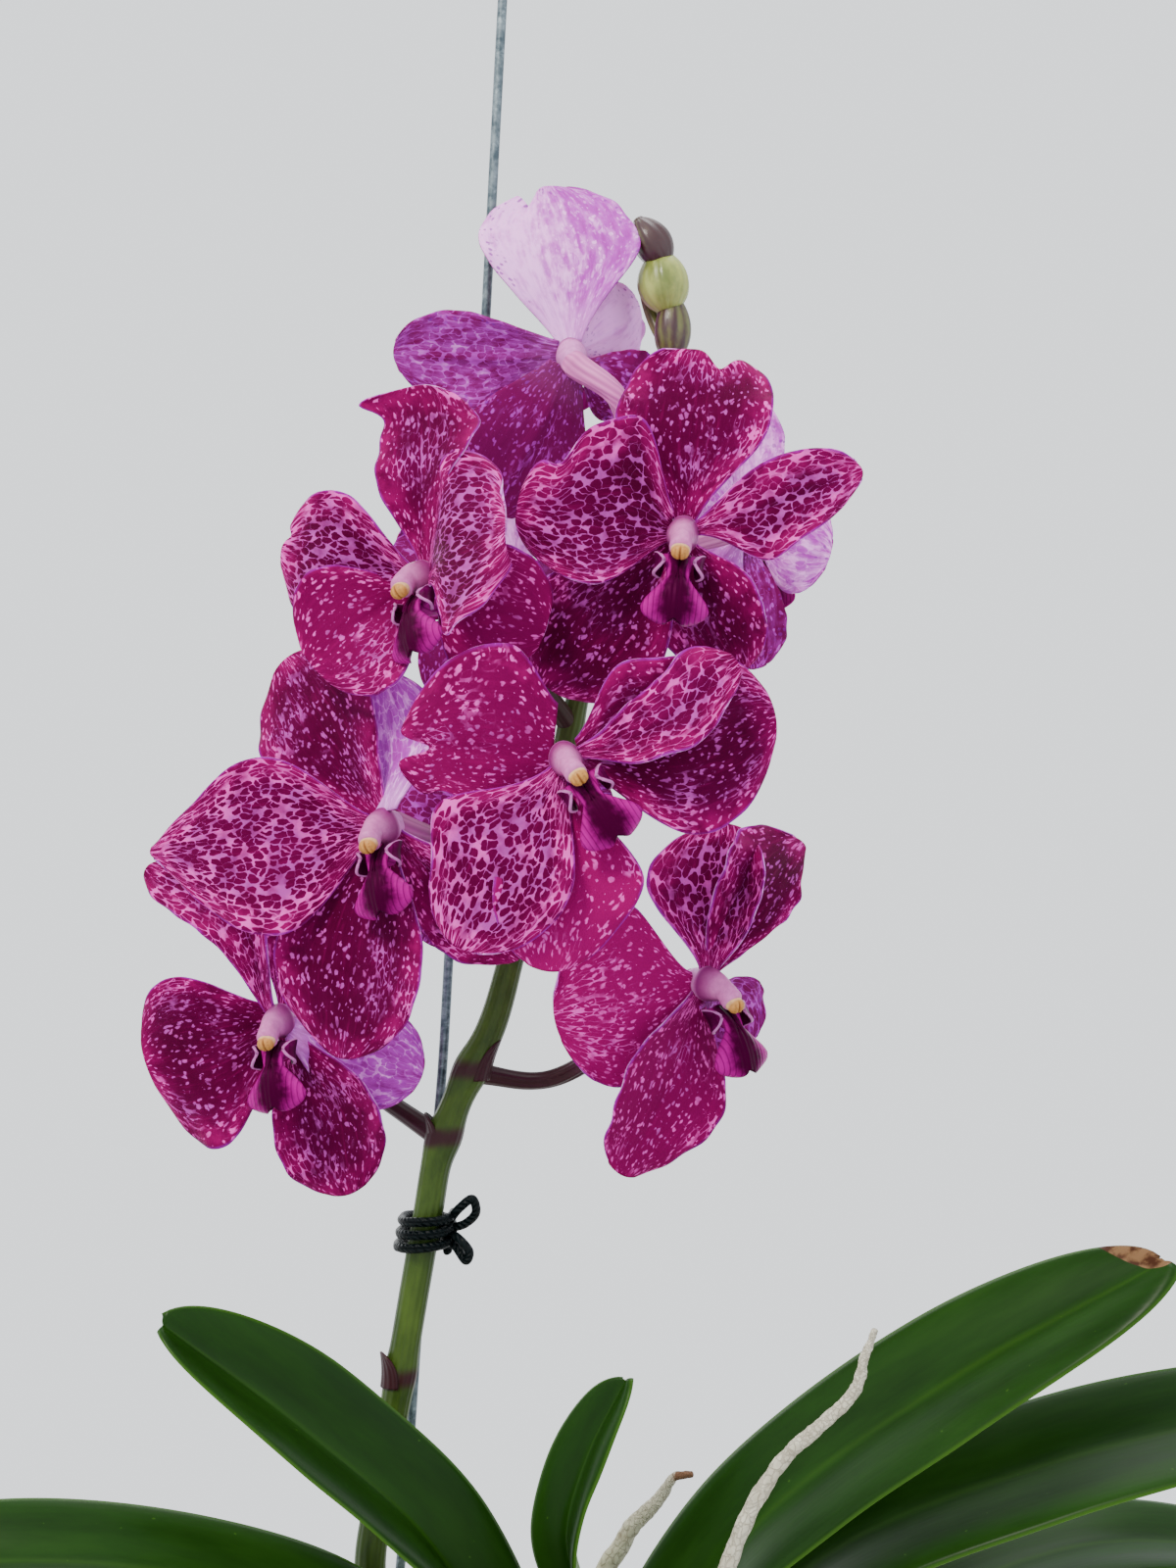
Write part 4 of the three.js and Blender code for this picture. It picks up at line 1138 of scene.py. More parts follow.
@dataclass
class ClayPot:
    """The pot: a thrown clay shell with a banded rim and drain holes.

    Attributes:
        height: From its underside to its lip.
        top_radius: The outer radius of the rim band.
        foot_radius: The outer radius at the foot.
        wall: The thickness of the wall.
        floor: The thickness of the floor.
        rim_height: The height of the rim band.
        rim_proud: How far the band stands out from the side.
        drain_radius: The radius of a drain hole.
        drain_ring: The distance of the drains from the axis.
        drains: How many drain holes.
        rings: The pitch and depth of the rings that the potter's fingers left, the fine ones first.
    """

    height: float = 150
    top_radius: float = 80
    foot_radius: float = 58
    wall: float = 5
    floor: float = 8
    rim_height: float = 22
    rim_proud: float = 4
    drain_radius: float = 5
    drain_ring: float = 34
    drains: int = 3
    rings: tuple[tuple[float, float], ...] = ((4.1, 0.10), (13, 0.12))

    def radius_at(self, height: float) -> float:
        """The outer radius of the side at a height: an even slope from the foot to the rim's inside."""
        return mix(self.foot_radius, self.top_radius - self.rim_proud, height / self.height)

    def profile(self) -> Array:
        """The section of the shell, from the middle of its underside round to the middle of its floor."""
        rim = self.height - self.rim_height
        inside = self.radius_at(self.height) - self.wall
        base = self.radius_at(self.floor) - self.wall
        section = np.concatenate([
            [[0, 0], [self.foot_radius - 12, 0]],
            arc((self.foot_radius - 1.6, 1.6), 1.6, -90, 0),
            [[self.radius_at(rim) - 0.2, rim - 1.2]],
            arc((self.radius_at(rim) + 1, rim - 0.9), 1, 180, 90, 4),
            arc((self.top_radius - 1.8, rim + 1.8), 1.7, -90, 0, 4),
            [[self.top_radius - 0.4, rim + 9]],
            arc((self.top_radius - 2.2, self.height - 2.2), 2.2, 0, 90),
            arc((inside + 2, self.height - 2), 2, 90, 180),
            arc((base - 4, self.floor + 4), 4, 0, -90),
            [[0, self.floor]],
        ])
        dense = resampled(section, 2.4)
        outside = (dense[:, 0] > self.radius_at(0) * 0.8) & (dense[:, 1] > 3)
        rings = sum(deep * np.sin(dense[:, 1] * 2 * math.pi / apart) for apart, deep in self.rings)
        dense[:, 0] += np.where(outside, rings - 0.2, 0)
        return dense

    def build(self) -> Thing:
        """Turns the shell and cuts the drains through its floor."""
        shell = revolved(self.profile(), 144, wobble=0.25).piece("pot_shell")
        cuts = []
        for number in range(self.drains):
            angle = 2 * math.pi * number / self.drains
            x, y = self.drain_ring * math.cos(angle), self.drain_ring * math.sin(angle)
            route = Route(((x, y, -6), (x, y, 4), (x, y, 16)))
            cuts.append(limb(route, tapered([self.drain_radius] * 2), 2, 28))
        cutter = Skin.joined(cuts).piece("drain_cutter")
        cut = shell.modifiers.new("drains", "BOOLEAN")
        cut.operation, cut.solver, cut.object = "DIFFERENCE", "EXACT", cutter
        bpy.context.view_layer.update()
        mesh = bpy.data.meshes.new_from_object(shell.evaluated_get(bpy.context.evaluated_depsgraph_get()))
        shell.modifiers.clear()
        shell.data = mesh
        bpy.data.objects.remove(cutter)
        places = np.empty(len(mesh.vertices) * 3)
        mesh.vertices.foreach_get("co", places)
        height = places.reshape(-1, 3)[:, 2] / MM
        rim = self.height - self.rim_height
        damp = np.clip(1 - height / 60, 0.1, 1) + 0.8 * bell(height - rim + 6, 10)
        if "damp" in mesh.attributes:
            mesh.attributes.remove(mesh.attributes["damp"])
        mesh.attributes.new("damp", "FLOAT", "POINT").data.foreach_set("value", damp)
        mesh.shade_smooth()
        return fitted(shell, "clay", "pot")


@dataclass
class BarkBed:
    """The bark: a packed bed with loose chips heaped on it.

    Attributes:
        pot: The pot that it fills.
        top: The height that the chips lie at.
        chips: How many chips.
        chip: The length, width and thickness of the largest chip.
        clear: The middle of the cane in the bark, and how far chips keep from it.
        seed: For the chips' places and shapes.
    """

    pot: ClayPot
    top: float = 134
    chips: int = 300
    chip: Point = (25, 16, 7)
    clear: Point = (-3, 3, 10)
    seed: int = 11

    def inside(self, height: float) -> float:
        """The radius of the room in the pot at a height."""
        return self.pot.radius_at(height) - self.pot.wall - 0.8

    def bed(self) -> Skin:
        """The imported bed: a solid of revolution just inside the pot's wall, a little under the chips."""
        low, rim, side = self.pot.floor + 0.4, self.inside(self.top), self.top - 5
        profile = np.array([[0, low], [self.inside(low) - 4, low], [rim, side], [0, side + 1]])
        return revolved(resampled(profile, 4), 64, wobble=0.2).value("shade", 0.15)

    def slab(self) -> Array:
        """One chip's form, of half length 1: a globe whose x, y and z are each raised to the power 0.55.

        The globe's places are x = cos p·cos q, y = cos p·sin q and z = sin p, and each keeps its sign.

        Returns:
            Six rings of twelve places, and the two poles.
        """
        p = np.linspace(-math.pi / 2, math.pi / 2, 8)[1:-1][:, None]
        q = 2 * math.pi * np.arange(12) / 12
        rings = np.broadcast_arrays(np.cos(p) * np.cos(q), np.cos(p) * np.sin(q), np.sin(p))
        globe = np.concatenate([np.stack(rings, axis=-1).reshape(-1, 3), [[0, 0, -1], [0, 0, 1]]])
        return signed_power(globe, 0.55)

    def heap(self) -> Skin:
        """All chips at once: one slab, stretched, roughened, turned and laid for each.

        The relief is the slab's own places times 1 + 0.2·mottle, which differs from chip to chip. A chip
        that would lie on the cane is pushed away from it.

        Returns:
            The chips, with the value shade, one for each chip.
        """
        random = np.random.default_rng(self.seed)
        size = np.array(self.chip) / 2 * random.uniform((0.4, 0.45, 0.5), (1, 1, 1), (self.chips, 3))
        reach = self.pot.radius_at(self.top) - self.pot.wall - 2 - size[:, 0]
        away = reach * np.sqrt(random.uniform(0.01, 1, self.chips))
        around = random.uniform(0, 2 * math.pi, self.chips)
        x, y = away * np.cos(around), away * np.sin(around)
        near = np.hypot(x - self.clear[0], y - self.clear[1])
        push = np.maximum(self.clear[2] + size[:, 1] - near, 0) / np.maximum(near, 1)
        x, y = x + (x - self.clear[0]) * push, y + (y - self.clear[1]) * push
        z = self.top + random.uniform(-5, 3.5, self.chips) + mottle(np.stack([x, y, 0 * x], -1), 50, 5) * 1.5
        turns = random.uniform((-0.5, -0.5, 0), (0.5, 0.5, 2 * math.pi), (self.chips, 3))
        matrices = np.array([np.array(Euler(turn).to_matrix()) for turn in turns.tolist()])
        shapes = self.slab()[None] * size[:, None]
        rough = mottle(shapes + random.uniform(0, 900, (self.chips, 1, 3)), 9, 8)
        shapes = shapes * (1 + 0.2 * rough[..., None])
        shapes[..., 2] += 0.05 * shapes[..., 0] ** 2 * random.uniform(-0.4, 0.4, (self.chips, 1))
        laid = np.einsum("nij,nvj->nvi", matrices, shapes) + np.stack([x, y, z], axis=-1)[:, None]
        starts = (np.arange(self.chips) * laid.shape[1])[:, None, None]
        faces = [(block[None] + starts).reshape(-1, block.shape[1]) for block in capped_faces(6, 12)]
        vertices = laid.reshape(-1, 3)
        shade = np.repeat(random.uniform(0, 1, self.chips), laid.shape[1])
        return Skin(vertices, faces, vertices[:, :2] / 10, {"shade": shade})

    def build(self) -> Thing:
        """Joins the bed and the heap in one piece."""
        return fitted(Skin.joined([self.bed(), self.heap()]).piece("bark_chips"), "bark", "bark_bed")


@dataclass
class Cane:
    """The plant's own stem: a short woody cane, ringed by the collars of old leaves.

    Attributes:
        route: The curve of its middle.
        radii: Its radii from the bark up.
        collars: How many leaf collars ring it.
    """

    route: Route = Route(((-3, 3, 124), (-4, 2, 150), (-6, 0, 182), (-6, 0, 212)))
    radii: tuple[float, ...] = (6.5, 6.6, 6.2, 4.4)
    collars: int = 9

    def build(self) -> Thing:
        """Each collar swells by 0.5 mm from its foot to its rim: r + 0.5·(share of the collar)²."""
        base = tapered(self.radii)

        def radius(t: Array, angle: Array) -> Array:
            """The radius with its collars and a little flattening."""
            share = (t * self.collars) % 1
            return base(t, angle) - 0.5 + 0.5 * share**2 + 0.15 * np.cos(2 * angle + 5 * t)

        skin = limb(self.route, radius, 140, 40)
        share = (skin.values["u"] * self.collars) % 1
        skin.value("tint", 0.35 + 0.45 * (share > 0.82)).value("blush", 0)
        return fitted(skin.piece("cane_stem"), "stem", "cane")


@dataclass
class Leaf:
    """One strap leaf, folded along its midrib, with an uneven notched tip.

    Attributes:
        name: The node that it stands for.
        path: Its middle line from the cane out.
        width: Its greatest width.
        face_base: Where its upper face looks at the foot.
        face_tip: Where its upper face looks at the end.
        foot_width: Its width at the foot.
        fold: The slope of each half to the midrib at the foot and at the end, in degrees.
        torn: How much of the tip is torn and brown.
        seed: For its own waves.
    """

    name: str
    path: tuple[Point, ...]
    width: float
    face_base: Point
    face_tip: Point
    foot_width: float = 25
    fold: tuple[float, float] = (55, 14)
    torn: float = 0.0
    seed: int = 1

    def half(self, u: Array) -> Array:
        """Half the width: it swells from the foot to the middle and rounds in towards the tip."""
        swelling = mix(self.foot_width, self.width, smoothstep(u, 0, 0.5))
        return swelling / 2 * np.sqrt(np.maximum(1 - (np.maximum(0, u - 0.68) / 0.323) ** 2.4, 1e-4))

    def surface(self, u: Array, v: Array) -> Array:
        """Places on the leaf.

        The midrib follows the path. Each half rises from it at the fold's slope, softened at the rib, and
        curls back a little at its margin. Long low waves run down the blade, and the tip is notched at the
        rib. A torn leaf's corner at v = -1 is bitten back by its own relief.

        Args:
            u: Shares along the leaf.
            v: Shares across it, -1 to 1.

        Returns:
            Places in millimetres.
        """
        route = Route(self.path)
        turning = smoothstep(u, 0.1, 0.6)[..., None]
        tangent = route.along(u)
        normal = square_to(tangent, mix(np.array(self.face_base), np.array(self.face_tip), turning))
        across = np.cross(tangent, normal)
        fold = np.radians(mix(self.fold[0], self.fold[1], turning[..., 0]))
        half = self.half(u)
        slope = np.sqrt(v**2 + 0.05**2) - 0.05
        tip = smoothstep(u, 0.8, 1)
        back = 0.5 * bell(v, 0.2) * u**16 - 1.2 * np.where(v > 0, v, 0) * tip
        if self.torn:
            bite = mottle(np.stack([v * 6, u * 20, 0 * u], axis=-1), 7, self.seed)
            back = back + self.torn * 2.2 * u**30 * bell(v + 0.8, 0.6) * (0.6 + bite)
        first, second = np.random.default_rng(self.seed).uniform(0, 6, 2)
        waves = 0.5 * np.sin(9 * u + first) * v**2 + 0.25 * np.sin(23 * u + second + v) * np.abs(v) ** 3
        curl = -1.1 * v**4 * smoothstep(u, 0.1, 0.5)
        rise = half * slope * np.sin(fold) + waves * u + curl
        middle = route.at(u) - tangent * back[..., None]
        return middle + across * (half * v * np.cos(fold))[..., None] + normal * rise[..., None]

    def thickness(self, u: Array, v: Array) -> Array:
        """Thick along the keel below the midrib, thinner to the margins and to the tip."""
        keel = 1.5 * bell(v, 0.13) * (1 - 0.7 * u)
        margin = 0.35 + 0.65 * np.sqrt(np.maximum(1 - v**6, 0))
        return (1.1 + keel) * margin * (1 - 0.35 * smoothstep(u, 0.8, 1))

    def build(self) -> Thing:
        """Makes the blade and notes on it the values that its finish reads."""
        skin = blade(self.surface, 96, 24, self.thickness)
        u, v = skin.values["u"], skin.values["v"]
        half = self.half(u)
        length = Route(self.path).length()
        skin.uv = np.stack([half * v, u * length], axis=-1) / 10
        to_side, to_end = half * (1 - np.abs(v)) / 10, (1.01 - u) * length / 10
        skin.value("edge", np.minimum(to_side, to_end))
        skin.value("rib", bell(v, 0.045) * skin.values["front"])
        corner = smoothstep(u - 0.04 * (v + 1) * self.torn, 0.935, 0.955) * self.torn
        skin.value("torn", np.maximum(corner, 0.32 * smoothstep(u, 0.985, 1)))
        return fitted(skin.piece(f"{self.name}_blade"), "leaf", self.name)


LEAVES = (
    Leaf(
        "leaf_left_1",
        ((-17.6, 0, 200), (-20.5, -4, 215), (-36, -17, 247), (-61, -27, 273), (-89.5, -36, 297.5)),
        33, (1, 0, 0.2), (0.6, -0.64, 0.49), fold=(55, 35), seed=3,
    ),
    Leaf(
        "leaf_left_2",
        ((-18.6, 0, 177), (-27, -4, 196), (-60, -24, 233), (-125, -38, 248), (-205, -42, 229)),
        30, (1, 0, 0.2), (0.05, -0.6, 0.8), seed=4,
    ),
    Leaf(
        "leaf_left_3",
        ((-18.4, 1, 161), (-26, -3, 176), (-58, -12, 196), (-110, -22, 202), (-160, -26, 174)),
        27, (1, 0, 0.2), (-0.2, 0.1, 1), torn=0.5, seed=5,
    ),
    Leaf(
        "leaf_left_4", ((-17, 2, 141), (-26, 4, 155), (-52, 38, 178), (-86, 66, 182), (-114, 90, 156)),
        28, (1, 0, 0.2), (-0.2, 0.2, 1), seed=6,
    ),
    Leaf(
        "leaf_centre", ((1.4, 0, 215.5), (-1, -2, 229), (-4, -6, 245), (0.5, -7, 262), (8.5, -8, 279)),
        20, (-0.85, -0.5, 0.1), (-0.75, -0.65, 0.1), foot_width=15, fold=(50, 34), seed=7,
    ),
    Leaf(
        "leaf_right_1", ((6.8, 0, 190), (11, -4, 206), (37, -19, 250), (76, -32, 284), (119.5, -46, 313)),
        35, (-1, 0, 0.2), (-0.35, -0.65, 0.75), torn=1.0, seed=8,
    ),
    Leaf(
        "leaf_right_2", ((7.7, 0, 171), (15, -3, 194), (50, -14, 240), (100, -22, 264), (176, -30, 284)),
        35, (-1, 0, 0.2), (-0.25, -0.55, 0.8), seed=9,
    ),
    Leaf(
        "leaf_right_3", ((8.4, 1, 153), (18, 2, 172), (58, 8, 212), (112, 16, 234), (170, 24, 230)),
        32, (-1, 0, 0.2), (0, -0.3, 1), seed=10,
    ),
    Leaf(
        "leaf_right_4", ((8.6, 2, 141), (19, -2, 153), (54, -22, 174), (96, -46, 176), (130, -66, 148)),
        29, (-1, 0, 0.2), (0.2, -0.2, 1), torn=0.7, seed=11,
    ),
)


@dataclass
class Root:
    """One root: an uneven, ringed limb covered in velamen.

    Attributes:
        name: The node that it stands for.
        path: Its middle line from the cane out.
        radii: Its radii along it.
        dead: How brown its end is.
        live: How green it is.
        seed: For its own relief.
    """

    name: str
    path: tuple[Point, ...]
    radii: tuple[float, ...] = (2.8, 2.8, 2.6, 2.2)
    dead: float = 0.3
    live: float = 0.1
    seed: int = 1

    def build(self) -> Thing:
        """The radius strays by about a tenth in lumps and by a twentieth in rings."""
        route = Route(self.path)
        base = tapered(self.radii)
        length = route.length()

        def radius(t: Array, angle: Array) -> Array:
            """The radius with its lumps and rings."""
            spot = np.stack(np.broadcast_arrays(3 * np.cos(angle), 3 * np.sin(angle), t * length), axis=-1)
            lumps = 0.11 * mottle(spot, 9, self.seed) + 0.06 * mottle(spot, 3.5, self.seed + 1)
            rings = 0.05 * mottle(np.stack([0 * t, 0 * t, t * length], axis=-1), 3, self.seed + 2)
            return base(t, angle) * (0.97 + lumps + rings)

        skin = limb(route, radius, 200, 24)
        u = skin.values["u"]
        skin.value("dead", self.dead * smoothstep(u, 0.8, 1) + 0.3 * self.dead)
        skin.value("live", self.live * (1 - u))
        return fitted(skin.piece(f"{self.name}_velamen"), "root", self.name)


ROOTS = (
    Root(
        "root_air_1",
        (
            (2, -14, 160), (14, -32, 200), (25.5, -46, 240), (31, -52, 259), (39, -55, 274),
            (46.5, -56.5, 281.5), (53.5, -58, 289), (55.5, -58.5, 296), (57.5, -59, 301.5),
        ),
        (3.0, 2.5, 1.9, 1.7, 1.6, 1.45, 1.25, 1.0, 0.7), dead=0.25, seed=21,
    ),
    Root(
        "root_air_2",
        (
            (-1, 14, 168), (0, 20.8, 200), (3, 22.7, 224), (10.5, 22.4, 237.5), (17, 20.8, 245),
            (20, 19, 250), (24, 18, 251),
        ),
        (3, 2.9, 2.6, 2.1, 1.5, 1.0, 0.8), dead=1.1, live=0.5, seed=24,
    ),
    Root("root_bark_1", ((-13, -11, 150), (-22, -18, 144), (-34, -24, 134), (-40, -28, 108)), seed=27),
    Root("root_bark_2", ((0, -12, 143), (9, -22, 145), (18, -34, 137), (22, -40, 112)), seed=30),
    Root("root_bark_3", ((4, 14, 148), (18, 20, 148), (32, 26, 137), (37, 30, 110)), live=0.5, seed=33),
    Root("root_bark_4", ((-9, 15, 146), (-18, 28, 147), (-26, 38, 137), (-30, 43, 112)), seed=36),
)


# How far from a bloom's heart its tepals start, in millimetres
HEART_GAP = 2.8


class Whorl(Enum):
    """Which ring of the flower a tepal belongs to, and how far in front of the heart that ring is."""

    SEPAL = -0.8
    PETAL = 0.8


@dataclass(frozen=True)
class Lobe:
    """A local swelling of one edge of a tepal, or a bay where reach is below zero.

    Attributes:
        side: 1 or -1, the edge that it is on.
        at: The share of the tepal's length where it is.
        reach: How far it stands out, in millimetres.
        spread: Its half length, as a share of the tepal's.
        blunt: How square it is; 2 is a bell.
    """

    side: int
    at: float
    reach: float
    spread: float = 0.12
    blunt: float = 2


@dataclass(frozen=True)
class Tepal:
    """One sepal or petal, from the bloom's heart to its tip.

    Attributes:
        tip: The place of the tip from the heart.
        width: The greatest width.
        widest: The share of its length where it is widest.
        claw: The width of its foot, as a share of the greatest.
        point: How pointed it ends; 0.5 is elliptic.
        foot_turn: How far its foot is turned about its length, in degrees.
        turn: How far its middle is.
        twist: How much further its end turns.
        bow: How far its middle stands towards the face.
        cup: How far its edges stand towards the face.
        fold: How far they stand up from a sharp fold at its middle.
        wave: The height of the waves of its edges.
        waves: How many waves an edge has.
        phase: Where the waves start.
        notch: How deep its tip is notched, as a share of its length.
        notch_at: Where the notch is, from -1 to 1 across it.
        skew: How much wider it is on one side.
        sway: How far its middle bends to one side.
        lobes: Swellings and bays of its edges.
        frill: The height of the fine ruffles of its edges.
        hook: How far its tip curls towards the face.
        flush: How strongly its pattern and mauve show on its back; partly its own colour and partly painted
            shade, shaded backs given more.
        flush_side: How much stronger on its +1 edge.
        open: How wide the pale net between its cells is.
        lit: How much light is painted on it, which turns its magenta bright and its net pink.
    """

    tip: Point
    width: float
    widest: float = 0.62
    claw: float = 0.16
    point: float = 0.5
    foot_turn: float = 0
    turn: float = 0
    twist: float = 0
    bow: float = 3
    cup: float = 2
    fold: float = 0
    wave: float = 1.2
    waves: float = 1.6
    phase: float = 0
    notch: float = 0
    notch_at: float = 0
    skew: float = 0
    sway: float = 0
    lobes: tuple[Lobe, ...] = ()
    frill: float = 0.6
    hook: float = 0
    flush: float = 0.3
    flush_side: float = 0
    open: float = 0.25
    lit: float = 0

    def half(self, u: Array, v: Array) -> Array:
        """Half the width at u, on the side that v is on.

        It rises from the claw as sin^1.3 of a quarter turn to the widest place, and falls past it as (1 -
        s²)^point, s being the share of the rest. A lobe adds reach·exp(-|(u - at) / spread|^blunt) on its
        side.

        Args:
            u: Shares along the tepal.
            v: Shares across it, -1 to 1.

        Returns:
            Half widths in millimetres.
        """
        rising = self.claw + (1 - self.claw) * np.sin(math.pi / 2 * np.minimum(u / self.widest, 1)) ** 1.3
        past = np.clip((u - self.widest) / (1.03 - self.widest), 0, 1)
        width = self.width / 2 * np.where(u < self.widest, rising, (1 - past**2) ** self.point)
        for lobe in self.lobes:
            swell = np.exp(-(np.abs((u - lobe.at) / lobe.spread) ** lobe.blunt))
            width = width + np.where(v * lobe.side > 0, lobe.reach * swell, 0)
        return np.maximum(width, 0.3)

    def thickness(self, u: Array, v: Array) -> Array:
        """0.9 mm at the foot and 0.55 mm at the tip, and half as much at the margins."""
        return (0.55 + 0.35 * (1 - u)) * (0.5 + 0.5 * np.sqrt(np.maximum(1 - v**4, 0)))

    def surface(self, heart: Array, face: Array, whorl: Whorl) -> Surface:
        """The tepal's surface as a function of u along it and v across it.

        The middle line leaves near the heart, bows towards the face as sin(πu)^1.3 and sways to a side. The
        edges stand at the half width, cupped by v², folded by |v|, waved by sin(2π·waves·u)·|v|³ and
        ruffled by a finer sine. A crease runs down the middle, low buckles cross the blade, and the tip
        curls by its hook. The tip bulges by (1 - v²)·u⁴, and its notch cuts back by exp(-((v -
        notch_at)/0.26)²)·u⁶. The whole is turned about its length from foot_turn at the foot to turn from
        the middle on, and twists on to its end.

        Args:
            heart: The middle of the bloom.
            face: Where the bloom looks.
            whorl: Which ring it belongs to, whose lift it has along the face.

        Returns:
            The surface.
        """
        tip = np.array(self.tip, dtype=float)
        length = float(np.linalg.norm(tip))
        along = tip / length
        out = square_to(along, face)
        side = np.cross(along, out)

        def place(u: Array, v: Array) -> Array:
            """Places in millimetres."""
            turned = mix(self.foot_turn, self.turn, smoothstep(u, 0, 0.5))
            angle = np.radians(turned + self.twist * (u - 0.5) * u)
            normal = out * np.cos(angle)[..., None] + side * np.sin(angle)[..., None]
            across = side * np.cos(angle)[..., None] - out * np.sin(angle)[..., None]
            swell = np.maximum(np.sin(math.pi * u), 0) ** 1.3
            cleft = self.notch * bell(v - self.notch_at, 0.26) * u**6
            reach = u + 0.04 * (1 - v * v) * u**4 - cleft
            edge = np.where(v > 0, 0, 2.0)
            broad = np.sin(2 * math.pi * self.waves * u + self.phase + edge)
            ripple = self.wave * broad * np.abs(v) ** 3 * u
            fine = np.sin(2 * math.pi * 5.3 * u + 2 * self.phase + 1.7 * edge)
            ruffle = self.frill * fine * np.abs(v) ** 6 * u
            crease = -0.6 * bell(v, 0.1) * swell
            lengthwise = 0.55 * np.sin(7 * u + 2 * self.phase)
            buckle = lengthwise * np.sin(3.4 * v + self.phase + self.width) * swell
            curl = self.hook * np.maximum(u - 0.75, 0) ** 2 * 16
            half = self.half(u, v)
            reach_out = half * (v + self.skew * v * v) + self.sway * swell
            sides = (self.cup * v * v + self.fold * (np.sqrt(v * v + 0.01) - 0.1)) * swell
            rise = self.bow * swell + sides + ripple + ruffle + crease + buckle + curl
            far = HEART_GAP + reach * (length - HEART_GAP)
            middle = heart + out * whorl.value + along * far[..., None]
            return middle + across * reach_out[..., None] + normal * rise[..., None]

        return place

    def build(self, heart: Array, face: Array, whorl: Whorl, number: int) -> Skin:
        """Makes the tepal and notes on it the values that its finish reads.

        Args:
            heart: The middle of the bloom.
            face: Where the bloom looks.
            whorl: Which ring it belongs to.
            number: Its count among all tepals, which shifts its pattern.

        Returns:
            The tepal, in millimetres.
        """
        skin = blade(self.surface(heart, face, whorl), 46, 28, self.thickness)
        u, v = skin.values["u"], skin.values["v"]
        half = self.half(u, v)
        length = float(np.linalg.norm(self.tip))
        shift = np.array([number * 7.3, number * 3.1])
        skin.uv = np.stack([v * mix(half, self.width / 2, 0.75), u * length], axis=-1) / 10 + shift
        end = (1.02 - u) * length
        skin.value("margin", np.minimum(half * (1 - np.abs(v)), end) / 10)
        skin.value("petal", float(whorl is Whorl.PETAL))
        # The back's flush, partly painted shade, shifts towards each edge by flush_side.
        flush = self.flush + self.flush_side * smoothstep(np.abs(v), 0.05, 0.35) * np.sign(v)
        return skin.value("flush", flush).value("open", self.open).value("lit", self.lit)


@dataclass(frozen=True)
class LipShape:
    """The sizes that every lip has, in millimetres.

    Attributes:
        foot: How far in front of the heart and below it the foot is.
        length: Of the blade.
        half: Half the blade's width at its foot.
        waist: How much narrower the half is at the waist.
        flare: How much wider it is towards the end.
        arch: The height of the blade's arch.
        fall: How far its sides fall away.
        keel: The height of its keels.
        ear_rise: How high an ear stands.
        ear_lean: How far from the middle an ear stands at its foot.
        spur: The places of the spur's middle, along and out from the foot.
        spur_radii: Its radii.
    """

    foot: float = 4.6
    length: float = 15.4
    half: float = 4.2
    waist: float = 1.9
    flare: float = 3.0
    arch: float = 2.4
    fall: float = 2.6
    keel: float = 0.8
    ear_rise: float = 4.2
    ear_lean: float = 3.5
    spur: tuple[tuple[float, float], ...] = ((1.2, -0.6), (1.0, -2.6), (-0.2, -5.2))
    spur_radii: tuple[float, ...] = (2.2, 1.7, 1.0)


@dataclass(frozen=True)
class ColumnShape:
    """The sizes that every column has, in millimetres.

    Attributes:
        line: The places of its middle, forward and down from the heart.
        radii: Its radii from the back to the end.
        cap_at: Where the anther cap starts, forward and down from the heart.
        cap_droop: How far down the cap points for each step forward.
        cap_length: Of the cap without its domes.
        cap_radius: Of the cap.
    """

    line: tuple[tuple[float, float], ...] = ((-4.6, 0.0), (0.5, 0.0), (4.4, 0.0), (6.8, 0.5), (9.4, 2.2))
    radii: tuple[float, ...] = (2.6, 3.8, 3.0, 2.3, 2.5)
    cap_at: tuple[float, float] = (9.5, 2.5)
    cap_droop: float = 0.55
    cap_length: float = 1.6
    cap_radius: float = 1.95


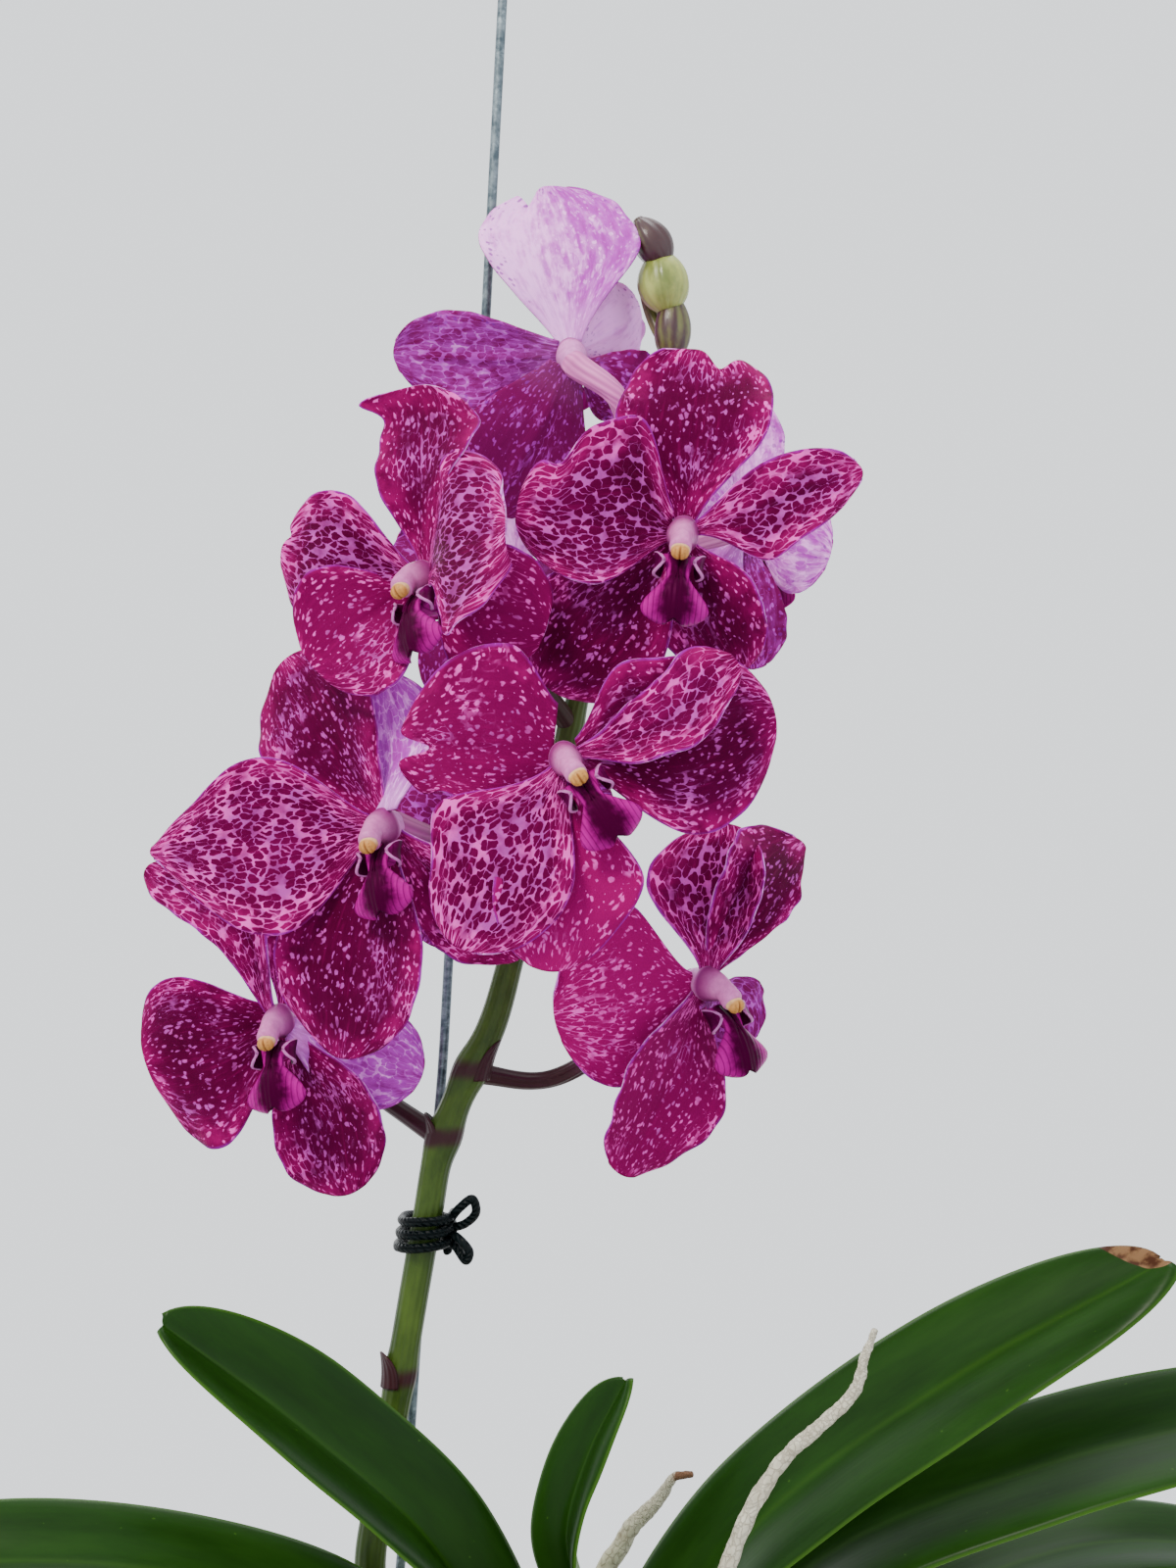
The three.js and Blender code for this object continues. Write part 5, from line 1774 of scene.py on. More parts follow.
@dataclass
class Bloom:
    """One bloom: three sepals and two petals in a piece, its lip, its column with its cap, and its stalk.

    Attributes:
        name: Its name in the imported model.
        heart: The middle of the bloom.
        face: Where it looks.
        down: Where its lip hangs.
        stalk: The height on the spike where its stalk leaves, and a place on the stalk's way.
        stout: How thick the stalk is.
        sepals: The upper sepal first.
        petals: Its two petals.
        maroon: How maroon its stalk is.
        blush: How pink its stalk is.
        lip_shape: The sizes of its lip.
        column_shape: The sizes of its column.
        stalk_radii: The radii of its stalk from the spike to the bloom, where stout is 1.
    """

    name: str
    heart: Point
    face: Point
    down: Point
    stalk: tuple[float, Point]
    sepals: tuple[Tepal, Tepal, Tepal]
    petals: tuple[Tepal, Tepal]
    maroon: float = 0.6
    blush: float = 0.0
    stout: float = 1.0
    lip_shape: LipShape = LipShape()
    column_shape: ColumnShape = ColumnShape()
    stalk_radii: tuple[float, ...] = (2.5, 2.15, 2.0, 2.0, 2.2, 2.5)

    def axes(self) -> tuple[Array, Array, Array]:
        """The heart, the unit vector that the bloom looks along, and the one that the lip hangs along."""
        face = unit(np.array(self.face, dtype=float))
        return np.array(self.heart, dtype=float), face, square_to(face, np.array(self.down, dtype=float))

    def tepals(self, first: int) -> Skin:
        """The five tepals as one skin.

        Args:
            first: The number of the first among all tepals.

        Returns:
            The skin.
        """
        heart, face, _ = self.axes()
        whorls = ((self.sepals, Whorl.SEPAL), (self.petals, Whorl.PETAL))
        order = [(tepal, whorl) for tepals, whorl in whorls for tepal in tepals]
        skins = [tepal.build(heart, face, whorl, first + k) for k, (tepal, whorl) in enumerate(order)]
        return Skin.joined(skins)

    def lip(self) -> Skin:
        """The lip: an arched blade with two keels, an ear each side of the column, and a short spur below.

        The blade's half width narrows to a waist and flares again: half - waist·sin(πu/0.8) + flare·sin(π(u
        - 0.4)/0.7). Its sides fall away as v², and its keels stand at v = ±0.3. An ear rises with u and
        rounds off as √(1 - u^2.5).

        Returns:
            The lip, with the values pale and flank.
        """
        heart, face, down = self.axes()
        along, out = 0.6 * face + 0.8 * down, 0.8 * face - 0.6 * down
        side = np.cross(along, out)
        shape = self.lip_shape
        foot = heart + shape.foot * (face + down)

        def tongue(u: Array, v: Array) -> Array:
            """Places on the blade of the lip."""
            waist = shape.waist * np.sin(math.pi * np.minimum(u / 0.8, 1))
            flare = shape.flare * np.sin(math.pi * np.maximum(0, u - 0.4) / 0.7)
            rounding = np.sqrt(np.maximum(1 - np.maximum(0, (u - 0.85) / 0.17) ** 2, 0.03))
            keels = shape.keel * (bell(v - 0.3, 0.13) + bell(v + 0.3, 0.13)) * (1 - u)
            fall = -shape.fall * v * v * smoothstep(u, 0.2, 0.6)
            rise = fall + shape.arch * np.sin(math.pi * u) + keels + 0.5 * bell(v, 0.1) * u
            notch = 0.05 * bell(v, 0.3) * smoothstep(u, 0.8, 1)
            reach = shape.length * (u + 0.06 * (1 - v * v) * u**4 - notch)
            across = (shape.half - waist + flare) * rounding * v
            return foot + along * reach[..., None] + side * across[..., None] + out * rise[..., None]

        def ear(sign: int) -> Surface:
            """The side lobe on one side of the column, 1 or -1."""
            def place(u: Array, v: Array) -> Array:
                """Places on the side lobe."""
                spread = 3.0 * np.sqrt(np.maximum(1 - u**2.5, 0.02))
                across = sign * (shape.ear_lean + 1.3 * np.sin(math.pi * u) - 0.5 * u * u + 0.5 * v * v)
                reach = 2.4 + spread * v + 0.9 * u
                rise = shape.ear_rise * u - 0.6
                return foot + along * reach[..., None] + side * across[..., None] + out * rise[..., None]
            return place

        parts = [blade(tongue, 40, 24, lambda u, v: 1.3 - 0.7 * v**4 - 0.4 * u)]
        parts[0].value("pale", 0.0).value("flank", np.abs(parts[0].values["v"]) ** 1.5)
        for sign in (1, -1):
            lobe = blade(ear(sign), 14, 14, lambda u, v: 0.95 - 0.35 * np.maximum(v**4, u**4))
            u, v = lobe.values["u"], lobe.values["v"]
            rim = smoothstep(np.maximum(u, np.abs(v)), 0.86, 1.0)
            parts.append(lobe.value("pale", rim).value("flank", 0.3 * u))
        route = Route.through([foot + far * along + rise * out for far, rise in shape.spur])
        spur = limb(route, tapered(shape.spur_radii), 10, 16, tuple(side))
        parts.append(spur.value("pale", 0.3).value("flank", 1.0))
        skin = Skin.joined(parts)
        skin.uv = np.stack([(skin.vertices - foot) @ side, (skin.vertices - foot) @ along], axis=-1) / 10
        return skin

    def column(self) -> Skin:
        """The column: a short waxy limb that flares at its foot and bends down, with a cap on its end.

        The limb is a little flat, and three-sided by cos 3a. The cap is pushed in along a furrow at its
        middle, and less along a ring 1 mm to each side, both as bells across it.

        Returns:
            The column, with the values cap, furrow and ring.
        """
        heart, face, down = self.axes()
        shape = self.column_shape
        side = np.cross(face, down)
        base = tapered(shape.radii)

        def radius(t: Array, angle: Array) -> Array:
            """The limb's radius."""
            return base(t, angle) * (1 + 0.06 * np.cos(2 * angle) + 0.03 * np.cos(3 * angle + 1))

        def cap_radius(t: Array, angle: Array) -> Array:
            """The cap's radius."""
            return shape.cap_radius - 0.12 * np.cos(2 * angle) - 0.15 * t

        route = Route.through([heart + forward * face + low * down for forward, low in shape.line])
        shaft = limb(route, radius, 40, 28, tuple(side), domes=(0.4, 0.45))
        shaft.value("cap", 0).value("furrow", 0).value("ring", 0)
        forward, low = shape.cap_at
        start = heart + forward * face + low * down
        turn = unit(face + shape.cap_droop * down)
        places = (0, shape.cap_length / 2, shape.cap_length)
        cap_route = Route.through([start + far * turn for far in places])
        cap = limb(cap_route, cap_radius, 6, 24, tuple(side), domes=(0.7, 0.75))
        across = (cap.vertices - start) @ side
        ahead = (cap.vertices - start) @ turn
        furrow = bell(across, 0.28) * smoothstep(ahead, 1.2, 2.6)
        ring = bell(np.abs(across) - 1.0, 0.22) * smoothstep(ahead, 1.4, 2.4)
        cap.vertices = cap.vertices - turn * (0.5 * furrow + 0.2 * ring)[:, None]
        # The value furrow marks where shade is painted into the cap's furrow and ring groove.
        cap.value("cap", 1).value("furrow", np.maximum(0.9 * furrow, 0.55 * ring))
        cap.value("ring", 1 - smoothstep(ahead, 0.9, 1.7))
        return Skin.joined([shaft, cap])

    def stalk_skin(self, spike: Route) -> Skin:
        """The stalk, from the middle of the spike to the back of the bloom.

        Six ridges run round it, which grow with t and twist: 1 + 0.09·t·cos(6a + 5t).

        Args:
            spike: The middle line of the spike.

        Returns:
            The stalk, with the values tint and blush.
        """
        heart, face, _ = self.axes()
        height, via = self.stalk
        base = tapered(self.stalk_radii)

        def radius(t: Array, angle: Array) -> Array:
            """The radius with its ridges."""
            return self.stout * base(t, angle) * (1 + 0.09 * t * np.cos(6 * angle + 5 * t))

        route = Route.through([spike.at(np.array(spike.at_height(height))), via, heart - face * 5.2])
        skin = limb(route, radius, 60, 30, (0, 0, 1), (0.3, 0.9))
        u = skin.values["u"]
        skin.value("tint", self.maroon * (1.1 - 0.5 * smoothstep(u, 0.5, 1)))
        return skin.value("blush", np.maximum(self.blush, 0.75 * smoothstep(u, 0.55, 1)))

    def build(self, first: int) -> dict[str, Thing]:
        """Makes the bloom's pieces.

        Args:
            first: The count of its first tepal among all tepals.

        Returns:
            The pieces by the slot that each takes its finish from.
        """
        node = f"bloom_{self.name}"
        return {
            "petal": fitted(self.tepals(first).piece(f"{node}_tepals"), "petal", f"{node}_petals"),
            "lip": fitted(self.lip().piece(f"{node}_labellum"), "lip", f"{node}_lip"),
            "column": fitted(self.column().piece(f"{node}_gynostemium"), "column", f"{node}_column"),
        }


BLOOMS = (
    Bloom(
        "centre", (-4.6, -45, 416), (0.1, -1, -0.1), (0.55, 0, -0.83), (400, (-7, -18, 409)),
        (
            Tepal(
                (-33.5, 2, 3.5), 33, widest=0.36, claw=0.5, point=0.6, skew=0.38, notch=0.22, notch_at=-0.05,
                bow=3, wave=2, phase=0.4, lit=0.35, lobes=(Lobe(-1, 0.95, 6, 0.2, 4),),
            ),
            Tepal((42, 3, 9), 37, widest=0.56, bow=4, cup=3, sway=2, lobes=(Lobe(-1, 0.25, 6, 0.18),)),
            Tepal((-3, -2, -42), 27, bow=4, cup=3, lit=0.75, lobes=(Lobe(-1, 0.5, 4, 0.22),)),
        ),
        (
            Tepal(
                (34, -6, 19), 16, turn=-28, twist=20, sway=4.5, wave=2, waves=2.2, phase=2,
                lobes=(Lobe(-1, 0.85, 2.5, 0.12),),
            ),
            Tepal(
                (-21, -5, -37), 28, bow=5, cup=1, wave=1.6, phase=1, open=0.9, lit=0.25,
                lobes=(Lobe(1, 0.46, 6, 0.2),),
            ),
        ),
    ),
    Bloom(
        "right_upper", (20, -30, 464), (-0.05, -1, -0.15), (-0.1, 0, -1), (452, (14, -10, 459)),
        (
            Tepal(
                (5.5, 4, 38.5), 30, widest=0.78, point=0.3, notch=0.1, notch_at=0.3, bow=4, wave=2,
                phase=1.2, lobes=(Lobe(-1, 0.45, 5, 0.24), Lobe(1, 0.5, 1.5, 0.2)),
            ),
            Tepal((12, 4, -28), 24, widest=0.5, turn=15),
            Tepal((-28, 6, -31), 31, fold=2),
        ),
        (
            Tepal(
                (37, 3, 13.5), 17.5, widest=0.55, point=0.55, skew=-0.14, wave=1.8, phase=2.6, sway=1,
                open=0.5, lobes=(Lobe(1, 0.32, 5, 0.16),),
            ),
            Tepal(
                (-34, -4, 4), 33, widest=0.52, skew=0.26, bow=5, wave=1.8, phase=0.5,
                lobes=(Lobe(1, 0.8, -4.5, 0.1), Lobe(1, 0.24, 6, 0.2)),
            ),
        ),
    ),
    Bloom(
        "left_upper", (-35, -25, 455), (-0.55, -0.85, -0.05), (0.45, 0, -0.9), (424, (-16, -8, 440)),
        (
            Tepal(
                (-0.6, 3, 40), 21, widest=0.72, point=0.4, wave=1.6, phase=2, hook=3,
                lobes=(Lobe(-1, 0.98, 8, 0.06), Lobe(1, 0.72, 6, 0.22)),
            ),
            Tepal((25, -9, -11), 30, fold=3, lit=0.5),
            Tepal((-23, -4, -18), 31, turn=-12, cup=3, lit=0.35),
        ),
        (
            Tepal(
                (18, -20, 9), 42, foot_turn=-25, turn=-25, claw=0.2, bow=4, wave=2.6, phase=0.8, open=0.6,
                lobes=(Lobe(1, 0.28, -6, 0.16), Lobe(1, 0.68, 3, 0.15)),
            ),
            Tepal((-30, 6, 7), 30, bow=4, wave=1.8, notch=0.05, notch_at=0.5, open=1.0),
        ),
    ),
    Bloom(
        "left_middle", (-43.5, -25, 402), (-0.35, -0.93, -0.1), (0.3, 0, -0.95), (383, (-26, -8, 395)),
        (
            Tepal((-23, 14, 35), 31, bow=2),
            Tepal((28, 8, -28), 22, bow=2),
            Tepal((-9.5, 0, -48), 35, widest=0.56, point=0.6, bow=4, cup=3),
        ),
        (
            Tepal(
                (-1, 6, 32), 26, claw=0.4, foot_turn=150, turn=160, twist=10, bow=2, wave=1.8, sway=-3,
                flush=0.45,
            ),
            Tepal(
                (-49, 4, -5.5), 38, widest=0.45, point=0.95, skew=-0.05, bow=5, wave=1.4, phase=0.9,
                open=0.75, lit=0.3, lobes=(Lobe(1, 0.78, -2.5, 0.15),),
            ),
        ),
    ),
    Bloom(
        "left_lower", (-69.5, 4, 357.5), (-0.25, -0.95, -0.1), (0.2, 0, -1), (331, (-58, 18, 346)),
        (
            Tepal((11, 6, 34), 24, bow=2),
            Tepal((15, 0, -38), 27, sway=-3.5, cup=3),
            Tepal((-30, 2, -9.5), 40, claw=0.3, skew=-0.15, bow=4, wave=1.4),
        ),
        (
            Tepal(
                (31, -2, -12), 24, foot_turn=140, turn=155, twist=15, claw=0.3, bow=2, wave=1.4, flush=0.55,
            ),
            Tepal((-30, 8, 33.5), 17, sway=10),
        ),
        maroon=1.0,
    ),
    Bloom(
        "right_lower", (26, -10, 367), (0.55, -0.83, -0.1), (0.2, 0, -1), (346, (-8, 8, 344)),
        (
            Tepal((22, 10, 29.5), 27, point=0.62, turn=10, skew=-0.42, sway=-3.5, phase=1),
            Tepal((-17.5, -6, -40), 28, widest=0.52, cup=3, lit=0.45),
            Tepal((-32, -9, -6), 37, wave=1.8, waves=2.1, lit=0.8, lobes=(Lobe(1, 0.42, 6, 0.22),)),
        ),
        (
            Tepal((8, 12, -15), 25, claw=0.35, foot_turn=180, turn=190, wave=1.6, flush=0.85),
            Tepal((4, 3, 34), 26, foot_turn=-30, turn=-50, skew=-0.1, bow=2, cup=7),
        ),
        maroon=1.0,
    ),
    Bloom(
        "top", (-3.7, 0, 507), (-0.15, 0.85, 0.5), (0, 0.3, -0.9), (481, (6.5, -7.5, 496.5)),
        (
            Tepal(
                (-6.5, 9, 38.5), 34, bow=-3, cup=-2, fold=-5, notch=0.12, notch_at=0.52, flush=0.26,
                flush_side=-0.16, lobes=(Lobe(-1, 0.42, 3, 0.18),),
            ),
            Tepal((-18, 6, -33), 30, claw=0.3, bow=-2, flush=1.0),
            Tepal((17, 9, -8), 19, bow=-2, flush=0.9),
        ),
        (
            Tepal((-39, 4, 1), 23, claw=0.3, bow=-2, cup=-2, wave=1.6, flush=0.75),
            Tepal((15.5, 12, 13), 20, bow=-2, flush=0.05),
        ),
        maroon=0.0, blush=1.0, stout=1.2,
    ),
    Bloom(
        "right_rear", (37, 22, 470), (0.4, 0.9, 0.05), (0.1, 0.1, -1), (462, (24, 12, 466)),
        (
            Tepal((0.5, 4, 30.5), 19, bow=-2, flush=0.3),
            Tepal((2, 2, -31), 18, bow=-2, flush=0.85),
            Tepal((-16, 2, -24), 20, bow=-2, flush=0.5),
        ),
        (
            Tepal((18.5, -3, -6), 22, bow=-2, flush=0.35),
            Tepal((-20, 4, 14), 24, bow=-2),
        ),
        blush=0.6,
    ),
    Bloom(
        "rear_upper", (-17, 31, 458), (-0.1, 1, 0.1), (0.1, 0.1, -1), (446, (-10, 17, 453)),
        (
            Tepal((-3, 4, 31), 25, bow=-3, notch=0.05, flush=0.2),
            Tepal((-17, 5, -27), 25, bow=-2, flush=1.0),
            Tepal((23, 5, -20), 25, bow=-2, flush=0.9),
        ),
        (
            Tepal((-29, 3, 8), 27, bow=-3, wave=1.6, flush=1.0),
            Tepal((29, 2, 8), 26, bow=-3, wave=1.6, flush=0.9),
        ),
    ),
    Bloom(
        "rear_lower", (-22, 32, 400), (0.1, 1, 0), (-0.1, 0.1, -1), (386, (-18, 17, 394)),
        (
            Tepal((2, 4, 28), 24, bow=-3, flush=0.9),
            Tepal((-16, 5, -26), 25, bow=-2, flush=0.9),
            Tepal((16, 5, -25), 25, bow=-2, flush=0.9),
        ),
        (
            Tepal((-26, 4, 10), 26, bow=-3, wave=1.6, flush=1.0),
            Tepal((27, 3, 8), 26, bow=-3, wave=1.6, flush=1.0),
        ),
    ),
)


@dataclass
class FlowerSpike:
    """The flower spike: its stem, the stalks of the blooms, and the bracts.

    Attributes:
        blooms: The blooms whose stalks leave it.
        route: The stem's middle line from the leaf axil up.
        radii: Its radii along it.
        bracts: Height, direction in degrees and length of each bract.
        knee: How far the stem swells where something leaves it.
    """

    blooms: tuple[Bloom, ...] = BLOOMS
    route: Route = Route((
        (-7, 12.5, 172), (-18, 14, 188), (-37, 6, 209), (-48.5, 1, 230), (-46, 0, 255), (-42.5, 0, 276),
        (-39.5, 0, 294), (-36, 0, 314), (-33.5, 0, 328), (-28.5, 1, 342), (-21.5, 1, 357), (-17.5, 1, 371),
        (-14, 2, 385), (-9, 4, 404), (-2, 6, 432), (5, 7, 462), (12, 6, 485), (18, 4, 501), (19.3, 3, 505.5),
    ))
    radii: tuple[float, ...] = (
        4.2, 4, 3.8, 3.7, 3.6, 3.5, 3.5, 3.5, 3.5, 3.5, 3.4, 3.1, 3, 2.9, 2.7, 2.5, 2.3, 2, 1.9,
    )
    bracts: tuple[tuple[float, float, float], ...] = ((279, 200, 8), (333, 180, 7), (348, -10, 9))
    knee: float = 0.45

    def stem(self) -> Skin:
        """The stem, which swells by exp(-((z - h)/4)²) round each height h where something leaves it.

        Returns:
            The stem, with the values tint and blush.
        """
        base = tapered(self.radii)
        heights = [bloom.stalk[0] for bloom in self.blooms] + [height for height, _, _ in self.bracts]

        def radius(t: Array, angle: Array) -> Array:
            """The radius with its knees and the faint ribs of the stem."""
            z = self.route.at(t)[..., 2]
            swell = sum(self.knee * bell(z - height, 4) for height in heights)
            return base(t, angle) - 0.15 + swell + 0.05 * np.cos(5 * angle + 3 * t)

        skin = limb(self.route, radius, 300, 32)
        z = skin.vertices[:, 2]
        scars = sum(0.75 * bell(z - height + 1, 3.2) for height, _, _ in self.bracts)
        skin.value("tint", np.minimum(scars + 0.28 * smoothstep(z, 340, 480), 1)).value("blush", 0)
        return skin

    def bract(self, height: float, direction: float, length: float) -> Skin:
        """A scale that clasps the stem: half a cone, 0.3 mm + 1.5u² off the stem, that closes to a tip.

        Args:
            height: Where it grows on the stem.
            direction: Where it stands, in degrees from +X towards +Y.
            length: Its length.

        Returns:
            The scale.
        """
        share = self.route.at_height(height)
        centre = self.route.at(np.array(share))
        girth = float(np.interp(share, np.linspace(0, 1, len(self.radii)), self.radii))
        middle = math.radians(direction)

        def place(u: Array, v: Array) -> Array:
            """Places on the scale."""
            angle = middle + v * 1.25 * np.sqrt(np.maximum(1 - u**1.6, 0.01))
            away = girth + 0.3 + 1.5 * u * u
            rise = -0.4 * length + u * length
            lean = (rise * 0.25)[..., None] * np.array([0.6, 0, 0])
            spot = np.stack([away * np.cos(angle), away * np.sin(angle), rise], axis=-1)
            return centre + spot + lean

        skin = blade(place, 22, 18, lambda u, v: 0.8 - 0.4 * np.maximum(u, np.abs(v)) ** 3)
        skin.uv = np.stack([skin.values["v"] * 0.5, skin.values["u"] * length / 10], axis=-1)
        return skin.value("tint", 0.95).value("blush", 0)

    def build(self) -> list[Thing]:
        """Makes the stem, which stands for the node, and the stalks and bracts that ride beside it."""
        stalks = Skin.joined([bloom.stalk_skin(self.route) for bloom in self.blooms])
        scales = Skin.joined([self.bract(*bract) for bract in self.bracts])
        return [
            fitted(self.stem().piece("spike_stem"), "stem", "flower_spike"),
            fitted(stalks.piece("bloom_stalks"), "stem"),
            fitted(scales.piece("spike_bracts"), "stem"),
        ]


@dataclass(frozen=True)
class Bud:
    """One bud.

    Attributes:
        at: Its middle.
        lean: Where its tip points.
        radius: Its greatest radius.
        length: From end to end.
        tint: How maroon it is.
    """

    at: Point
    lean: Point
    radius: float
    length: float
    tint: float


@dataclass
class BudCluster:
    """The last buds at the top of the spike, on their bent stalk.

    Attributes:
        stalk: The middle line of the stalk.
        buds: The buds, lowest first.
    """

    stalk: Route = Route(((19.2, 3, 509.5), (16, 6, 514), (13, 7.5, 524), (14.6, 2, 531)))
    buds: tuple[Bud, ...] = (
        Bud((19, 2.5, 513.6), (0.02, 0, 1), 4.3, 15.5, 0.75),
        Bud((17, 2, 524), (-0.15, 0, 1), 6.0, 14.5, 0.22),
        Bud((14.4, 0.9, 532.8), (-0.5, 0, 0.8), 4.5, 12.5, 0.9),
    )

    def bud(self, bud: Bud, number: int) -> Skin:
        """One bud: an egg whose radius is R·sin(πt)^0.56, furrowed where its three sepals meet.

        Args:
            bud: Its place and sizes.
            number: Its count, which turns its furrows and shifts its pattern.

        Returns:
            The bud, with the value tint.
        """
        lean = unit(np.array(bud.lean, dtype=float))
        ends = [np.array(bud.at) + lean * bud.length * share for share in (-0.47, 0, 0.47)]

        def radius(t: Array, angle: Array) -> Array:
            """The radius with its furrows, deeper towards the tip."""
            egg = np.sin(math.pi * np.clip(0.04 + 0.92 * t, 0, 1)) ** 0.56 * (1 + 0.1 * (0.5 - t))
            folds = np.abs(np.cos(1.5 * (angle + number))) ** 8
            return bud.radius * egg * (1 - 0.09 * folds * smoothstep(t, 0.1, 0.6))

        skin = limb(Route.through(ends), radius, 40, 36, (0, 1, 0), (0.5, 0.5))
        skin.uv = skin.uv + number * 3.7
        return skin.value("tint", bud.tint)

    def build(self) -> Thing:
        """Joins the stalk and the buds in one piece."""
        stalk = limb(self.stalk, tapered((1.7, 1.6, 1.4, 1.2)), 30, 20).value("tint", 0.6)
        buds = [self.bud(bud, number) for number, bud in enumerate(self.buds)]
        return fitted(Skin.joined([stalk, *buds]).piece("spike_buds"), "bud", "buds")


@dataclass
class SupportWire:
    """The galvanised wire that the spike is tied to, pushed into the bark and rounded at its end.

    Attributes:
        route: Its middle line from the bark up.
        radius: Its radius.
    """

    route: Route = Route((
        (-55, 13, 60), (-52, 12, 140), (-42.6, 9.5, 235), (-37.5, 9, 305), (-33.7, 9, 340),
        (-31.5, 9, 376), (-27, 9, 450), (-23.3, 9, 518), (-19.5, 9, 590), (-18.8, 9, 603),
    ))
    radius: float = 1.1

    def build(self) -> Thing:
        """A round limb of one radius."""
        wire = limb(self.route, tapered((self.radius,) * 2), 160, 20)
        return fitted(wire.piece("galvanised_wire"), "wire", "wire_support")


@dataclass
class SpikeTie:
    """The string that ties the spike to the wire: a coil round both, and a loose knot at its side.

    Attributes:
        spike: The spike that it is wound round.
        height: The height of its middle.
        turns: How many times it goes round.
        pitch: The rise of each turn.
        thickness: Of the string.
        reach: Half the coil's width and half its depth.
        set_back: How far behind the stem's middle the coil's middle is.
        squareness: The power that rounds the coil's corners.
        loops: The middle lines of the knot's loops.
    """

    spike: FlowerSpike
    height: float = 310
    turns: int = 3
    pitch: float = 2.9
    thickness: float = 2.1
    reach: tuple[float, float] = (5.7, 8.7)
    set_back: float = 3.3
    squareness: float = 0.75
    loops: tuple[tuple[Point, ...], ...] = (
        (
            (-31.8, 1.5, 312), (-28.5, -3, 316.5), (-25.8, -4, 318.5), (-25, -3, 315.5), (-27.5, -1, 312.5),
            (-31.5, 1.2, 311),
        ),
        (
            (-31.8, 1.5, 310), (-29, -2.5, 309.5), (-26.5, -3, 306.5), (-27.2, -2.5, 304.5),
            (-29.5, -0.5, 307), (-31.5, 1.2, 309),
        ),
    )

    def coil(self) -> Route:
        """The coil's middle line, which climbs evenly; cos and sin are raised to the squareness."""
        turned = np.linspace(0, self.turns, self.turns * 14 + 1)
        angle = 2 * math.pi * turned
        height = self.height + (turned - self.turns / 2) * self.pitch
        stem = self.spike.route
        share = np.interp(height, stem.at(np.linspace(0, 1, 600))[:, 2], np.linspace(0, 1, 600))
        middle = stem.at(share)
        x = middle[:, 0] + self.reach[0] * signed_power(np.cos(angle), self.squareness)
        y = middle[:, 1] + self.set_back + self.reach[1] * signed_power(np.sin(angle), self.squareness)
        return Route.through(np.stack([x, y, height], axis=-1))

    def build(self) -> Thing:
        """Joins the coil, the loops and a bead where they are pulled together."""
        def string(t: Array, angle: Array) -> Array:
            """The string's radius with its twist."""
            return self.thickness / 2 * (1 + 0.05 * np.cos(3 * angle + 90 * t))

        parts = [limb(self.coil(), string, 240, 14, (0, 0, 1))]
        parts += [limb(Route(path), tapered((1.0, 1.0)), 60, 14, (0, 1, 0)) for path in self.loops]
        bead = Route(((-31.9, 1.6, 308.2), (-31.2, 0.9, 311), (-31.9, 1.6, 313.2)))
        parts.append(limb(bead, tapered((1.3, 1.9, 1.3)), 12, 16))
        return fitted(Skin.joined(parts).piece("tie_string"), "tie", "tie")


@dataclass(frozen=True)
class Lamp:
    """A square soft light.

    Attributes:
        name: Its name.
        place: Where it stands, in metres.
        size: The side of the square, in metres.
        power: In watts.
        colour: Its colour.
    """

    name: str
    place: Point
    size: float
    power: float
    colour: str = "ffffff"

    def build(self, target: Point) -> None:
        """Sets the lamp up and turns its -Z axis to a target.

        Args:
            target: What it shines at, in metres.
        """
        light = bpy.data.lights.new(self.name, "AREA")
        light.size, light.energy = self.size, self.power
        light.color = paint(self.colour)[:3]
        lamp = bpy.data.objects.new(self.name, light)
        forward = unit(np.array(target, dtype=float) - np.array(self.place, dtype=float))
        lamp.location = self.place
        lamp.rotation_euler = Euler((math.acos(-forward[2]), 0, math.atan2(-forward[0], forward[1])))
        bpy.context.scene.collection.objects.link(lamp)


